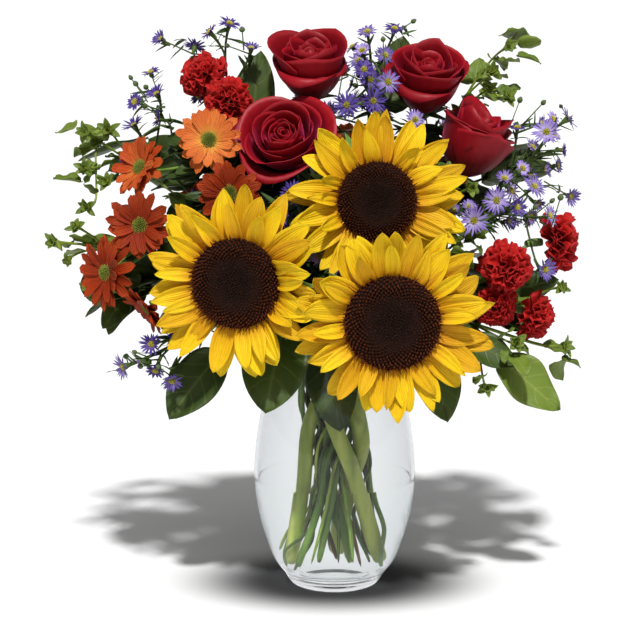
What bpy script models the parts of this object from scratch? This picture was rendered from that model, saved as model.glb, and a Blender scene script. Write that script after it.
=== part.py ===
# A mixed bouquet in a clear glass vase: three sunflowers with roses, spray carnations, daisies,
# asters, bupleurum and salal leaves. +Z is up, the front is -Y, and the origin is the centre of
# the vase's foot. Places below are in millimetres, as (to the right, to the back, up). A flower's
# facing is (turn, tilt) in degrees: turn 0 looks to the front and 90 to the right, tilt 90 looks up.
import math

import bmesh
import bpy
import numpy as np
from mathutils import Matrix, Vector

MM = 0.001
GAP = 0.3  # between two pieces that rest against each other

VASE_STEPS = 32
VASE_WALL = 3.0
VASE_FLOOR = 9.0
VASE_OUTLINE = (  # (height, radius)
    (0, 31), (9, 38), (20, 46), (36, 52), (56, 57.5), (80, 60.5), (104, 59.5), (134, 55), (158, 48.5),
    (178, 43), (188, 44), (196, 47),
)
LIP = (45.5, 194.0)  # middle of the lip's section, as (radius, height)
WATER_LEVEL = 82.0

NECK_HEIGHT = 180.0
NECK_REACH = 26.0  # how far from the axis a thin stem passes the neck
FOOT_REACH = 35.0
FOOT_HEIGHTS = (15.0, 24.0)
FOOT_SWIRL = math.radians(26)  # how far round the cut ends are turned against the heads
SWIRL_HEIGHT = 250.0  # a head this much higher turns its cut end one radian further
LOW_HEAD = 238.0  # a stem to a head below this goes over the lip first
LIP_REACH = 47.0
LIP_CROSSING = 214.0

CLEARANCE = 2.9  # between two stems, before their curves are made polygons
GLASS_CLEARANCE = 1.2
LIP_CLEARANCE = 4.0
ROUTE_STEP = 4.0  # spacing of the points that the stems are settled with
ROUTE_ROUNDS = 300
PAIR_ROUNDS = 12  # rounds between two searches for stems that are close
PAIR_MARGIN = 9.0
STIFFNESS = 0.06
LONGEST_MOVE = 2.5

POLYGON_ERROR = 0.8
TWIG_POLYGON_ERROR = 1.0
STEM_SIDES = {"sunflower": 8, "rose": 6, "carnation": 5, "daisy": 5, "aster": 4, "bupleurum": 4, "salal": 4}
TWIG_SIDES = 4
STEM_RADIUS = {"rose": 2.9, "carnation": 1.9, "daisy": 1.9, "aster": 1.5, "bupleurum": 1.5, "salal": 2.0}
TWIG_RADIUS = {"carnation": 1.4, "daisy": 1.4, "aster": 0.9, "bupleurum": 0.9, "salal": 1.2}
TWIG_LENGTH = {"carnation": 62, "daisy": 66, "aster": 46, "bupleurum": 46, "salal": 40}
CUPS = {"carnation": (3.6, 14.0), "daisy": (4.8, 3.5)}  # (radius, depth) of the green cup under a bloom

DISC_STEPS = 16
SUNFLOWER_POINTS = 17
ROSE_STEPS = 12
CARNATION_STEPS = 10
DAISY_POINTS = 8
FLORET_STEPS = 7
CUP_STEPS = 6
LEAF_THICKNESS = 1.3

COLOURS = {
    "glass": (0.9, 0.95, 0.95),
    "water": (0.85, 0.93, 0.93),
    "sunflower_disc": (0.07, 0.02, 0.01),
    "sunflower_petals": (0.95, 0.62, 0.02),
    "sunflower_stem": (0.33, 0.45, 0.12),
    "rose": (0.45, 0.01, 0.02),
    "rose_stem": (0.13, 0.24, 0.06),
    "carnation": (0.65, 0.02, 0.02),
    "carnation_stem": (0.22, 0.34, 0.12),
    "daisy_orange": (0.85, 0.3, 0.08),
    "daisy_rust": (0.6, 0.09, 0.02),
    "daisy_stem": (0.2, 0.3, 0.08),
    "aster": (0.2, 0.1, 0.55),
    "bupleurum": (0.3, 0.45, 0.08),
    "salal": (0.05, 0.13, 0.03),
}

# place of the head, facing, disc radius, petal radius, stem radius, stem at the neck, cut end
SUNFLOWERS = {
    "sunflower_left": ((-69, -92, 244), (-14, 0), 31.0, 68.0, 6.3, (-18, -20), (33, -6, 19)),
    "sunflower_top": ((29, -72, 299), (3, 8), 27.0, 64.0, 5.8, (3, -4), (-32, -8, 17)),
    "sunflower_right": ((39, -112, 220), (2, -2), 32.5, 69.0, 6.8, (15, -27), (2, 20, 19)),
}

# middle of the bloom, facing, widest radius, depth
ROSES = {
    "rose_top": ((-18, 12, 384), (-8, 62), 30.0, 47.0),
    "rose_left": ((-36, -26, 336), (-12, 42), 35.0, 42.0),
    "rose_right_upper": ((67, 15, 374), (12, 50), 29.5, 44.0),
    "rose_right_lower": ((99, 2, 329), (46, 44), 28.5, 42.0),
}

# the blooms of each branching stem, as (letter, place, facing, radius)
CARNATIONS = {
    "carnation_top_left": (("a", (-98, 19, 383), (-38, 45), 17), ("b", (-78, -9, 365), (-5, 25), 17)),
    "carnation_right": (
        ("a", (124, -48, 250), (18, 28), 18), ("b", (116, -42, 217), (8, -18), 15),
        ("c", (166, -12, 262), (82, 4), 21), ("d", (148, -30, 208), (62, -18), 16.5),
    ),
    "carnation_back": (("a", (-62, 82, 326), (195, 32), 19), ("b", (88, 88, 296), (150, 22), 19)),
}
DAISIES = {
    "daisy_orange": (("a", (-90, -42, 339), (-8, 16), 22.5), ("b", (-139, -40, 319), (-42, 22), 21.5)),
    "daisy_rust": (
        ("a", (-75, -61, 303), (-6, 6), 21), ("b", (-139, -58, 280), (-12, 12), 23),
        ("c", (-163, -58, 246), (-42, 4), 25), ("d", (-134, -44, 218), (-66, -40), 21),
    ),
    "daisy_back": (("a", (14, 98, 318), (176, 18), 22.5), ("b", (-98, 76, 278), (212, 10), 22.5)),
}

# the florets of each spray, as (place, facing, radius); the main stem ends at the first one
ASTERS = {
    "aster_top_left": (
        ((-78, 25, 418), (35, 62), 9), ((-92, 22, 412), (-72, 42), 8), ((-104, 32, 401), (160, 45), 9),
        ((-62, 20, 400), (25, 72), 8),
    ),
    "aster_left": (
        ((-147, 0, 345), (-58, 56), 10), ((-130, 0, 368), (-48, 50), 9), ((-128, -6, 351), (-78, 12), 8),
    ),
    "aster_low_left": (
        ((-153, -46, 175), (-58, -12), 11), ((-132, -58, 194), (-14, 8), 10),
        ((-114, -62, 203), (4, 20), 8), ((-130, -52, 174), (-10, -42), 8),
        ((-117, -70, 170), (4, -26), 9),
    ),
    "aster_centre": (
        ((-30, -68, 304), (-4, 14), 10), ((-39, -64, 287), (-18, 12), 8), ((-33, -66, 269), (-6, 0), 9),
        ((-19, -62, 278), (6, 12), 9), ((-12, -68, 259), (10, 26), 9),
    ),
    "aster_top": (
        ((24, 27, 412), (-18, 60), 8), ((8, -22, 362), (-4, 18), 11), ((27, -20, 365), (4, 14), 11),
        ((21, 0, 386), (-4, 34), 9), ((38, -12, 378), (6, 16), 10), ((44, 32, 414), (20, 66), 8),
        ((57, -30, 352), (8, 26), 8), ((20, 12, 399), (-24, 44), 7),
    ),
    "aster_right": (
        ((154, -5, 341), (-8, 26), 12), ((170, 2, 350), (96, 30), 10), ((167, 6, 327), (82, 2), 6),
        ((135, 17, 342), (8, 72), 6), ((154, 6, 312), (84, 6), 8),
    ),
    "aster_right_low": (
        ((144, -22, 303), (36, 34), 10), ((98, -60, 283), (-10, 14), 13), ((115, -46, 296), (-8, 12), 11),
        ((130, -38, 290), (34, 10), 9), ((154, -32, 283), (54, 18), 9), ((151, -38, 245), (26, 0), 10),
        ((122, -26, 309), (18, 46), 8),
    ),
    "aster_back": (
        ((-22, 78, 358), (182, 40), 11), ((10, 84, 352), (170, 34), 10), ((-44, 92, 286), (196, 8), 10),
        ((62, 74, 344), (150, 42), 10), ((44, 100, 272), (165, 4), 11),
    ),
}

# round leaves and leafy stars, as (place, facing, radius)
BUPLEURUM = {
    "bupleurum_top_right": (
        ((127, 20, 402), (24, 20), 10), ((116, 16, 384), (-10, 10), 10), ((113, 23, 371), (10, 18), 9),
        ((126, 6, 366), (20, 24), 10), ((94, 36, 352), (0, 6), 12),
    ),
    "bupleurum_left": (
        ((-183, 2, 340), (-20, 20), 10), ((-166, 2, 342), (-10, 16), 10),
        ((-182, -9, 315), (-30, 12), 10), ((-166, -14, 306), (-20, 10), 10),
        ((-180, -18, 288), (-30, 4), 10),
    ),
    "bupleurum_low_left": (
        ((-205, -17, 262), (-36, 10), 10), ((-188, -22, 274), (-20, 20), 9),
        ((-195, -22, 250), (-10, -10), 7), ((-180, -8, 228), (-50, -10), 9),
    ),
    "bupleurum_middle": (
        ((80, -42, 317), (4, 28), 10), ((66, -46, 326), (-10, 30), 8), ((97, -38, 304), (12, 12), 9),
        ((84, -46, 268), (10, 0), 9),
    ),
    "bupleurum_right": (
        ((167, -26, 186), (40, 10), 10), ((165, -21, 229), (30, 10), 8), ((130, -54, 193), (10, 16), 10),
        ((108, -66, 164), (6, 4), 9),
    ),
}

# leaves, as (base, tip, widest width, facing)
SALAL = {
    "salal_front_left": (
        ((-84, -42, 184), (-120, -58, 138), 38, (-18, 12)),
        ((-38, -56, 204), (-50, -82, 148), 50, (-8, 22)),
        ((-120, 6, 232), (-168, 4, 212), 40, (-100, 40)),
    ),
    "salal_neck": (((-6, -30, 186), (3, -44, 126), 38, (0, 8)),),
    "salal_front_right": (
        ((64, -52, 196), (80, -74, 140), 38, (14, 20)), ((92, -46, 194), (132, -50, 176), 26, (10, 34)),
        ((-10, -44, 218), (8, -62, 176), 30, (0, 16)),
    ),
    "salal_right": (
        ((119, -42, 180), (162, -46, 142), 34, (12, 24)), ((112, 26, 216), (154, 40, 182), 42, (80, 30)),
    ),
    "salal_top": (
        ((-62, 28, 336), (-55, 39, 398), 32, (-10, -4)),
        ((-104, 44, 300), (-142, 64, 330), 40, (220, 30)), ((40, 52, 352), (52, 66, 408), 38, (170, -6)),
        ((112, 50, 300), (152, 60, 320), 38, (130, 40)),
    ),
    "salal_back": (
        ((-40, 64, 226), (-58, 96, 176), 48, (190, 24)), ((30, 66, 230), (48, 98, 182), 46, (168, 24)),
        ((-8, 72, 262), (-6, 112, 236), 42, (180, 50)), ((92, 62, 232), (128, 84, 204), 40, (130, 40)),
        ((-96, 58, 232), (-132, 74, 200), 40, (225, 40)),
    ),
}


def start_empty():
    for old in list(bpy.data.objects):
        bpy.data.objects.remove(old)


def material(colour, roughness, transmission):
    made = bpy.data.materials.new(colour)
    made.use_nodes = True
    shader = made.node_tree.nodes["Principled BSDF"]
    shader.inputs["Base Color"].default_value = (*COLOURS[colour], 1)
    shader.inputs["Roughness"].default_value = roughness
    shader.inputs["Transmission Weight"].default_value = transmission
    return made


def add_object(name, bm, colour, roughness=0.6, transmission=0.0):
    """The bmesh as an object with its own material, shaded smooth except at its sharp edges."""
    bmesh.ops.recalc_face_normals(bm, faces=bm.faces)
    mesh = bpy.data.meshes.new(name)
    bm.to_mesh(mesh)
    bm.free()
    mesh.shade_smooth()
    mesh.set_sharp_from_angle(angle=math.radians(40))
    made = bpy.data.objects.new(name, mesh)
    made.data.materials.append(material(colour, roughness, transmission))
    bpy.context.scene.collection.objects.link(made)
    return made


def boolean(target, helper, operation):
    """Joins or cuts with the helper, which isn't a piece itself."""
    helper.hide_render = True
    helper.display_type = "WIRE"
    cut = target.modifiers.new(operation.lower(), "BOOLEAN")
    cut.operation = operation
    cut.object = helper
    cut.use_self = True


# ---- directions and curves ----


def facing_of(turn_tilt):
    turn, tilt = (math.radians(angle) for angle in turn_tilt)
    return np.array((math.sin(turn) * math.cos(tilt), -math.cos(turn) * math.cos(tilt), math.sin(tilt)))


def unit(vector):
    return vector / np.linalg.norm(vector)


def frame_at(place, facing):
    """A matrix with +Z along the facing, +X level, and its origin at the place, in metres."""
    forward = Vector(facing).normalized()
    across = Vector((0, 0, 1)).cross(forward)
    across = Vector((1, 0, 0)) if across.length < 0.05 else across.normalized()
    upward = forward.cross(across)
    turned = Matrix((across, upward, forward)).transposed().to_4x4()
    return Matrix.Translation(Vector(place) * MM) @ turned


def inner_radius(height):
    outline = np.array(VASE_OUTLINE, float)
    return np.interp(height, outline[:, 0], outline[:, 1]) - VASE_WALL


def bezier(start, pull, push, end, count):
    t = np.linspace(0, 1, count)[:, None]
    return (1 - t) ** 3 * start + 3 * (1 - t) ** 2 * t * pull + 3 * (1 - t) * t**2 * push + t**3 * end


def evenly_spaced(points, step):
    lengths = np.concatenate(([0], np.cumsum(np.linalg.norm(np.diff(points, axis=0), axis=1))))
    wanted = np.linspace(0, lengths[-1], max(4, int(round(lengths[-1] / step)) + 1))
    return np.column_stack([np.interp(wanted, lengths, points[:, k]) for k in range(3)])


def thinned(points, error):
    """The fewest of the points that keep a polygon this close to them all."""
    chord = points[-1] - points[0]
    along = np.clip((points - points[0]) @ chord / (chord @ chord), 0, 1)
    off = np.linalg.norm(points - points[0] - along[:, None] * chord, axis=1)
    worst = int(off.argmax())
    if len(points) < 3 or off[worst] < error:
        return points[[0, -1]]
    return np.vstack((thinned(points[: worst + 1], error)[:-1], thinned(points[worst:], error)))


# ---- shapes that are added to a bmesh ----


def turn_profile(bm, profile, steps, place=None):
    """A closed turned solid. The profile, in mm, runs from the axis to the axis."""
    verts = [bm.verts.new((radius * MM, 0, height * MM)) for radius, height in profile]
    edges = [bm.edges.new(pair) for pair in zip(verts, verts[1:])]
    before = set(bm.verts) - set(verts)
    bmesh.ops.spin(
        bm, geom=[*verts, *edges], axis=(0, 0, 1), cent=(0, 0, 0), dvec=(0, 0, 0),
        angle=2 * math.pi, steps=steps, use_merge=True, use_duplicate=False,
    )
    made = [vert for vert in bm.verts if vert not in before]
    bmesh.ops.remove_doubles(bm, verts=made, dist=1e-6)
    made = [vert for vert in bm.verts if vert not in before]
    if place:
        bmesh.ops.transform(bm, matrix=place, verts=made)
    return made


def sweep(bm, points, radii, sides):
    """A closed tube through the points, whose rings keep their turn along it."""
    points = [Vector(point) * MM for point in points]
    steps = [(b - a).normalized() for a, b in zip(points, points[1:])]
    headings = [steps[0]] + [(a + b).normalized() for a, b in zip(steps, steps[1:])] + [steps[-1]]
    across = headings[0].orthogonal().normalized()
    frames = []
    for point, heading, radius in zip(points, headings, radii):
        across = (across - heading * across.dot(heading)).normalized()
        turned = Matrix((across, heading.cross(across), heading)).transposed().to_4x4()
        frames.append(Matrix.Translation(point) @ turned @ Matrix.Diagonal((radius * MM, radius * MM, MM, 1)))
    ring = bmesh.ops.create_circle(bm, cap_ends=True, segments=sides, radius=1, matrix=frames[0])["verts"]
    end = ring[0].link_faces[0]
    for last, now in zip(frames, frames[1:]):
        grown = bmesh.ops.extrude_face_region(bm, geom=[end])["geom"]
        if last is not frames[0]:
            bmesh.ops.delete(bm, geom=[end], context="FACES_ONLY")
        fresh = [item for item in grown if isinstance(item, bmesh.types.BMVert)]
        bmesh.ops.transform(bm, matrix=now @ last.inverted(), verts=fresh)
        end = next(item for item in grown if isinstance(item, bmesh.types.BMFace))


def add_leaf(bm, base, tip, width, facing):
    """A flat leaf blade from base to tip, widest at two fifths of its length."""
    base, tip = np.array(base, float), np.array(tip, float)
    along = unit(tip - base)
    normal = unit(facing - along * (facing @ along))
    across = np.cross(normal, along)
    length = np.linalg.norm(tip - base)
    half_widths = ((0.0, 0.09), (0.14, 0.72), (0.4, 1.0), (0.7, 0.66), (1.0, 0.04))
    outline = [*half_widths, *((part, -half) for part, half in reversed(half_widths))]
    verts = []
    for part, half in outline:
        at = base + along * length * part + across * width / 2 * half - normal * LEAF_THICKNESS / 2
        verts.append(bm.verts.new(Vector(at) * MM))
    blade = bm.faces.new(verts)
    grown = bmesh.ops.extrude_face_region(bm, geom=[blade])["geom"]
    fresh = [item for item in grown if isinstance(item, bmesh.types.BMVert)]
    bmesh.ops.translate(bm, vec=Vector(normal) * LEAF_THICKNESS * MM, verts=fresh)


# ---- settling the stems ----


class Route:
    """A stem's centreline. Its last points are held, and a twig's first point stays on its parent."""

    def __init__(self, plant, points, radius, held_end, parent=None, parent_point=0):
        self.plant = plant
        self.points = evenly_spaced(points, ROUTE_STEP)
        self.radius = radius
        self.held_end = held_end
        self.parent = parent
        self.parent_point = parent_point


class Blocker:
    """A flat round body that stems of other plants keep clear of."""

    def __init__(self, plant, centre, axis, radius, half_height):
        self.plant = plant
        self.centre = np.array(centre, float)
        self.axis = unit(np.array(axis, float))
        self.radius = radius
        self.half_height = half_height


def straighten_kinks(points):
    bend = np.zeros_like(points)
    bend[2:-2] = points[:-4] - 4 * points[1:-3] + 6 * points[2:-2] - 4 * points[3:-1] + points[4:]
    return points - STIFFNESS * bend


def near_pairs(points, radius, plant):
    """Pairs of points of different plants that are close enough to meet within a few rounds."""
    square = (points**2).sum(1)
    apart2 = square[:, None] + square[None, :] - 2 * points @ points.T
    reach = radius[:, None] + radius[None, :] + CLEARANCE + PAIR_MARGIN
    return np.nonzero(np.triu((apart2 < reach**2) & (plant[:, None] != plant[None, :])))


def push_apart(points, radius, pairs):
    """How far each point should move to clear the points of other plants."""
    first, second = pairs
    gap = points[first] - points[second]
    apart = np.maximum(np.linalg.norm(gap, axis=1), 0.05)
    short = radius[first] + radius[second] + CLEARANCE - apart
    share = radius[second] ** 2 / (radius[first] ** 2 + radius[second] ** 2)
    move = gap * (np.maximum(short, 0) / apart)[:, None]
    moves = np.zeros_like(points)
    np.add.at(moves, first, move * share[:, None])
    np.add.at(moves, second, -move * (1 - share)[:, None])
    return np.clip(0.6 * moves, -LONGEST_MOVE, LONGEST_MOVE)


def keep_off(points, radius, plant, blocker):
    offset = points - blocker.centre
    along = offset @ blocker.axis
    sideways = offset - along[:, None] * blocker.axis
    out = np.maximum(np.linalg.norm(sideways, axis=1), 0.05)
    past_face = blocker.half_height + radius + CLEARANCE - np.abs(along)
    past_rim = blocker.radius + radius + CLEARANCE - out
    inside = (past_face > 0) & (past_rim > 0) & (plant != blocker.plant)
    by_face = inside & (past_face <= past_rim)
    by_rim = inside & (past_face > past_rim)
    moves = np.zeros_like(points)
    moves[by_face] = (np.sign(along) * past_face)[by_face, None] * blocker.axis
    moves[by_rim] = (sideways / out[:, None] * past_rim[:, None])[by_rim]
    return np.clip(0.5 * moves, -LONGEST_MOVE, LONGEST_MOVE)


def keep_off_glass(points, radius, in_vase):
    """Points that start in the vase stay in it, and the others stay outside it and off its lip."""
    moved = points.copy()
    out = np.maximum(np.hypot(points[:, 0], points[:, 1]), 0.05)
    wall = inner_radius(points[:, 2])
    room = wall - radius - GLASS_CLEARANCE
    tight = in_vase & (points[:, 2] < 190) & (out > room)
    moved[tight, :2] *= (room / out)[tight, None]
    outside = wall + VASE_WALL + radius + GLASS_CLEARANCE
    tight = ~in_vase & (points[:, 2] < 200) & (out < outside)
    moved[tight, :2] *= (outside / out)[tight, None]
    lip = np.column_stack((points[:, :2] / out[:, None] * LIP[0], np.full(len(points), LIP[1])))
    gap = points - lip
    apart = np.maximum(np.linalg.norm(gap, axis=1), 0.05)
    short = radius + LIP_CLEARANCE - apart
    near = short > 0
    gap[near & (points[:, 2] > 186), 2] += 2.0
    moved[near] += (gap / apart[:, None] * short[:, None] * 0.6)[near]
    moved[:, 2] = np.maximum(moved[:, 2], VASE_FLOOR + 1.5 + radius)
    return moved


def settle(routes, blockers):
    """Moves the routes' free points until stems clear each other, the blooms and the glass."""
    ends = np.cumsum([0] + [len(route.points) for route in routes])
    radius = np.concatenate([np.full(len(route.points), route.radius) for route in routes])
    names = sorted({route.plant for route in routes} | {blocker.plant for blocker in blockers})
    plant = np.concatenate([np.full(len(route.points), names.index(route.plant)) for route in routes])
    for blocker in blockers:
        blocker.plant = names.index(blocker.plant)
    held = np.zeros(len(radius), bool)
    for route, end in zip(routes, ends[1:]):
        held[end - route.held_end : end] = True
    points = np.concatenate([route.points for route in routes])
    in_vase = (points[:, 2] < 197) & (np.hypot(points[:, 0], points[:, 1]) < 46)
    for count in range(ROUTE_ROUNDS):
        if count % PAIR_ROUNDS == 0:
            pairs = near_pairs(points, radius, plant)
        moves = push_apart(points, radius, pairs)
        for blocker in blockers:
            moves += keep_off(points, radius, plant, blocker)
        moved = points + moves
        for start, end in zip(ends, ends[1:]):
            moved[start:end] = straighten_kinks(straighten_kinks(moved[start:end]))
        moved = keep_off_glass(moved, radius, in_vase)
        moved[held] = points[held]
        points = moved
        for route, start in zip(routes, ends):
            route.points = points[start : start + len(route.points)]
        for route, start in zip(routes, ends):
            if route.parent is not None:
                points[start] = route.parent.points[route.parent_point]
    for route, start in zip(routes, ends):
        route.points = points[start : start + len(route.points)].copy()


def stem_route(plant, head, facing, radius, neck=None, foot=None, held_end=4):
    """From the cut end, straight to the neck, then in one curve to the back of the head."""
    bearing = math.atan2(head[1], head[0])
    lean = min(1.0, math.hypot(head[0], head[1]) / 90)
    if neck is None:
        neck = (NECK_REACH * lean * math.cos(bearing), NECK_REACH * lean * math.sin(bearing))
    if foot is None:
        away = bearing + math.pi + FOOT_SWIRL + (head[2] - 300) / SWIRL_HEIGHT
        low, high = FOOT_HEIGHTS
        height = low + (high - low) * lean * abs(math.sin(3 * bearing))
        foot = (FOOT_REACH * lean * math.cos(away), FOOT_REACH * lean * math.sin(away), height)
    foot, neck = np.array(foot, float), np.array((*neck, NECK_HEIGHT), float)
    rise = unit(neck - foot)
    lower = np.linspace(foot, neck, 30)[:-1]
    if head[2] < LOW_HEAD and lean > 0.6:
        over = np.array((LIP_REACH * math.cos(bearing), LIP_REACH * math.sin(bearing), LIP_CROSSING))
        level = unit((head - over) * (1, 1, 0.3))
        reach = np.linalg.norm(head - over)
        climb = bezier(neck, neck + rise * 14, over - level * 14, over, 14)[:-1]
        fall = bezier(over, over + level * reach * 0.35, head - facing * reach * 0.3, head, 30)
        upper = np.vstack((climb, fall))
    else:
        reach = np.linalg.norm(head - neck)
        upper = bezier(neck, neck + rise * reach * 0.4, head - facing * reach * 0.3, head, 30)
    straight_end = head - facing * np.arange(3, 0, -1)[:, None] * ROUTE_STEP
    upper = np.vstack((upper[np.linalg.norm(upper - head, axis=1) > 4 * ROUTE_STEP], straight_end, head))
    return Route(plant, np.vstack((lower, upper)), radius, held_end)


def twig_route(plant, main, end, facing, radius, length):
    """From a point on the main stem, about this length away, to the twig's end. It forks above the lip."""
    away = np.linalg.norm(main.points - end, axis=1)
    in_vase = math.hypot(end[0], end[1]) < LIP_REACH
    lowest = NECK_HEIGHT - 60 if in_vase else LIP_CROSSING - 10
    allowed = np.arange(len(main.points))[main.points[:, 2] > lowest]
    near = [index for index in allowed if away[index] <= length]
    index = int(near[0] if near else allowed[away[allowed].argmin()])
    index = min(index, len(main.points) - 6)
    start = main.points[index]
    reach = np.linalg.norm(end - start)
    rise = unit(main.points[index + 1] - main.points[index - 1])
    points = bezier(start, start + rise * reach * 0.3, end - facing * reach * 0.35, end, 16)
    return Route(plant, points, radius, 2, main, index)


# ---- the vase and its water ----


def vase_profile():
    outer = [(radius, height) for height, radius in VASE_OUTLINE]
    rounded_heel = [(0, 0), (28, 0), (30.2, 0.8)]
    lip = [(outer[-1][0] - 0.5, outer[-1][1] + 1.2), (outer[-1][0] - VASE_WALL + 0.4, outer[-1][1] + 1.2)]
    inner = [(radius - VASE_WALL, height) for radius, height in reversed(outer) if height > VASE_FLOOR + 3]
    floor = [(inner_radius(VASE_FLOOR) - 3, VASE_FLOOR + 0.6), (0, VASE_FLOOR)]
    return [*rounded_heel, *outer[1:], *lip, *inner, *floor]


def make_vase():
    bm = bmesh.new()
    turn_profile(bm, vase_profile(), VASE_STEPS)
    add_object("glass_vase", bm, "glass", 0.03, 1.0)


def make_water(stems):
    """The water's body is the vase's hollow up to the water level, less the stems that stand in it."""
    wall = [(radius - VASE_WALL - GAP - 0.1, height) for height, radius in VASE_OUTLINE]
    sides = [(radius, height) for radius, height in wall if VASE_FLOOR + 3.5 < height < WATER_LEVEL - 2]
    bottom = [(0, VASE_FLOOR + GAP + 0.4), (inner_radius(VASE_FLOOR) - 4, VASE_FLOOR + GAP + 1.0)]
    rim = inner_radius(WATER_LEVEL) - GAP - 0.1
    bm = bmesh.new()
    turn_profile(bm, [*bottom, *sides, (rim, WATER_LEVEL), (0, WATER_LEVEL)], VASE_STEPS)
    water = add_object("water", bm, "water", 0.02, 1.0)
    bm = bmesh.new()
    for route, sides in stems:
        points = thinned(route.points, POLYGON_ERROR)
        points = np.vstack((points[0] - unit(points[1] - points[0]) * GAP * 1.3, points[1:]))
        inside = int(np.argmax(points[:, 2] > WATER_LEVEL + 2)) + 2
        clear = GAP / math.cos(math.pi / sides) + 0.15
        sweep(bm, points[:inside], np.full(inside, route.radius + clear), sides)
    cutter = add_object("stems_in_water", bm, "water")
    boolean(water, cutter, "DIFFERENCE")


# ---- the flowers ----


def make_sunflower(name, head, facing, disc_radius, petal_radius, route):
    place = frame_at(head, facing)
    bm = bmesh.new()
    turn_profile(bm, sunflower_disc_profile(disc_radius), DISC_STEPS, place)
    add_object(name + "_disc", bm, "sunflower_disc", 0.9)
    bm = bmesh.new()
    sunflower_petal_star(bm, disc_radius, petal_radius, place)
    add_object(name + "_petals", bm, "sunflower_petals", 0.5)
    points = thinned(route.points, POLYGON_ERROR)
    calyx = [head - facing * back for back in (14, 8, 3 + GAP)]
    radii = [*np.full(len(points), route.radius), 10, disc_radius * 0.8, disc_radius * 0.92]
    bm = bmesh.new()
    sweep(bm, [*points, *calyx], radii, STEM_SIDES["sunflower"])
    add_object(name + "_stem", bm, "sunflower_stem")


def sunflower_disc_profile(radius):
    rim = [(radius, 0), (radius + 1, 3.5), (radius - 1.5, 8)]
    return [(0, 0), *rim, (radius * 0.62, 9), (radius * 0.3, 6.5), (0, 6)]


def sunflower_petal_star(bm, disc_radius, petal_radius, place):
    """One star-shaped plate for both rows of petals, slightly dished."""
    tips = [(petal_radius, 0.5), (petal_radius, 2.5)]
    plate = [(0, -3), (disc_radius, -3), *tips, (disc_radius, -GAP), (0, -GAP)]
    made = turn_profile(bm, plate, SUNFLOWER_POINTS * 2)
    notch(made, SUNFLOWER_POINTS, disc_radius + 2, 0.74)
    bmesh.ops.transform(bm, matrix=place, verts=made)


def notch(verts, points, beyond, share):
    """Draws in every second spoke of a turned plate, so that its rim becomes a star."""
    step = math.pi / points
    for vert in verts:
        spoke = round(math.atan2(vert.co.y, vert.co.x) / step)
        if math.hypot(vert.co.x, vert.co.y) > beyond * MM and spoke % 2:
            vert.co.x *= share
            vert.co.y *= share


def make_rose(name, middle, facing, radius, depth, route):
    share = ((0, 0), (0.2, 0), (0.68, 0.12), (0.96, 0.4), (1, 0.66), (0.86, 0.97), (0.5, 0.9), (0, 0.86))
    profile = [(out * radius, up * depth) for out, up in share]
    bm = bmesh.new()
    turn_profile(bm, profile, ROSE_STEPS, frame_at(middle - facing * depth / 2, facing))
    add_object(name + "_bloom", bm, "rose", 0.5)
    points = thinned(route.points, POLYGON_ERROR)
    points = np.vstack((points[:-1], points[-1] - facing * 9, points[-1] - facing * 3, points[-1]))
    radii = [*np.full(len(points) - 2, route.radius), 5.5, 5.5]
    bm = bmesh.new()
    sweep(bm, points, radii, STEM_SIDES["rose"])
    add_object(name + "_stem", bm, "rose_stem")


def bloom_body(kind, radius):
    """How far a bloom's cup is behind its place, and the middle and half height of its body there."""
    if kind == "carnation":
        return 0.62 * radius + GAP, 0.0, 0.62 * radius
    return 1.5 + GAP, 1.5, 3.2


def make_carnation(name, place, facing, radius):
    share = ((0, 0), (0.25, 0), (0.86, 0.4), (1, 0.7), (0.72, 1.06), (0, 1.22))
    bm = bmesh.new()
    base = frame_at(place - facing * 0.62 * radius, facing)
    turn_profile(bm, [(out * radius, up * radius) for out, up in share], CARNATION_STEPS, base)
    add_object(name, bm, "carnation", 0.7)


def make_daisy(name, place, facing, radius):
    profile = [(0, -1.5), (5, -1.5), (radius, 0), (radius, 1.2), (5.6, 1.0), (4.6, 5), (0, 5)]
    bm = bmesh.new()
    made = turn_profile(bm, profile, DAISY_POINTS * 2)
    notch(made, DAISY_POINTS, 7, 0.84)
    bmesh.ops.transform(bm, matrix=frame_at(place, facing), verts=made)
    add_object(name, bm, "daisy_orange" if "orange" in name else "daisy_rust", 0.6)


def add_cup(bm, kind, place, facing, radius):
    """The green cup between a bloom and its stem."""
    cup_radius, depth = CUPS[kind]
    top = place - facing * bloom_body(kind, radius)[0]
    profile = [(0, -depth), (1.8, -depth), (cup_radius, -depth * 0.6), (cup_radius, 0), (0, 0)]
    turn_profile(bm, profile, CUP_STEPS, frame_at(top, facing))


def add_floret(bm, place, facing, radius):
    profile = [(0, -4.5), (radius, -0.6), (radius, 0.8), (0, 0.8)]
    turn_profile(bm, profile, FLORET_STEPS, frame_at(place, facing))


def make_spray(name, kind, colour, routes, ends):
    """The main stem joined with its twigs and the bmesh of what they carry, as the one plant it is."""
    main, *twigs = routes
    points = thinned(main.points, POLYGON_ERROR)
    thinner = np.clip((points[:, 2] - NECK_HEIGHT) / 120, 0, 1)
    bm = bmesh.new()
    sweep(bm, points, main.radius + (TWIG_RADIUS[kind] - main.radius) * thinner, STEM_SIDES[kind])
    plant = add_object(name, bm, colour)
    for twig in twigs:
        points = thinned(twig.points, TWIG_POLYGON_ERROR)
        sweep(ends, points, np.full(len(points), twig.radius), TWIG_SIDES)
    boolean(plant, add_object(name + "_twigs", ends, colour), "UNION")


# ---- the whole bouquet ----


def plan_sunflowers(blockers):
    routes = {}
    for name, (head, facing, disc_radius, petal_radius, stem_radius, neck, foot) in SUNFLOWERS.items():
        head, facing = np.array(head, float), facing_of(facing)
        routes[name] = [stem_route(name, head - facing * 20, facing, stem_radius, neck, foot)]
        blockers.append(Blocker(name, head, facing, petal_radius, 5))
        blockers.append(Blocker(name, head - facing * 8, facing, disc_radius, 9))
    return routes


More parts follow.
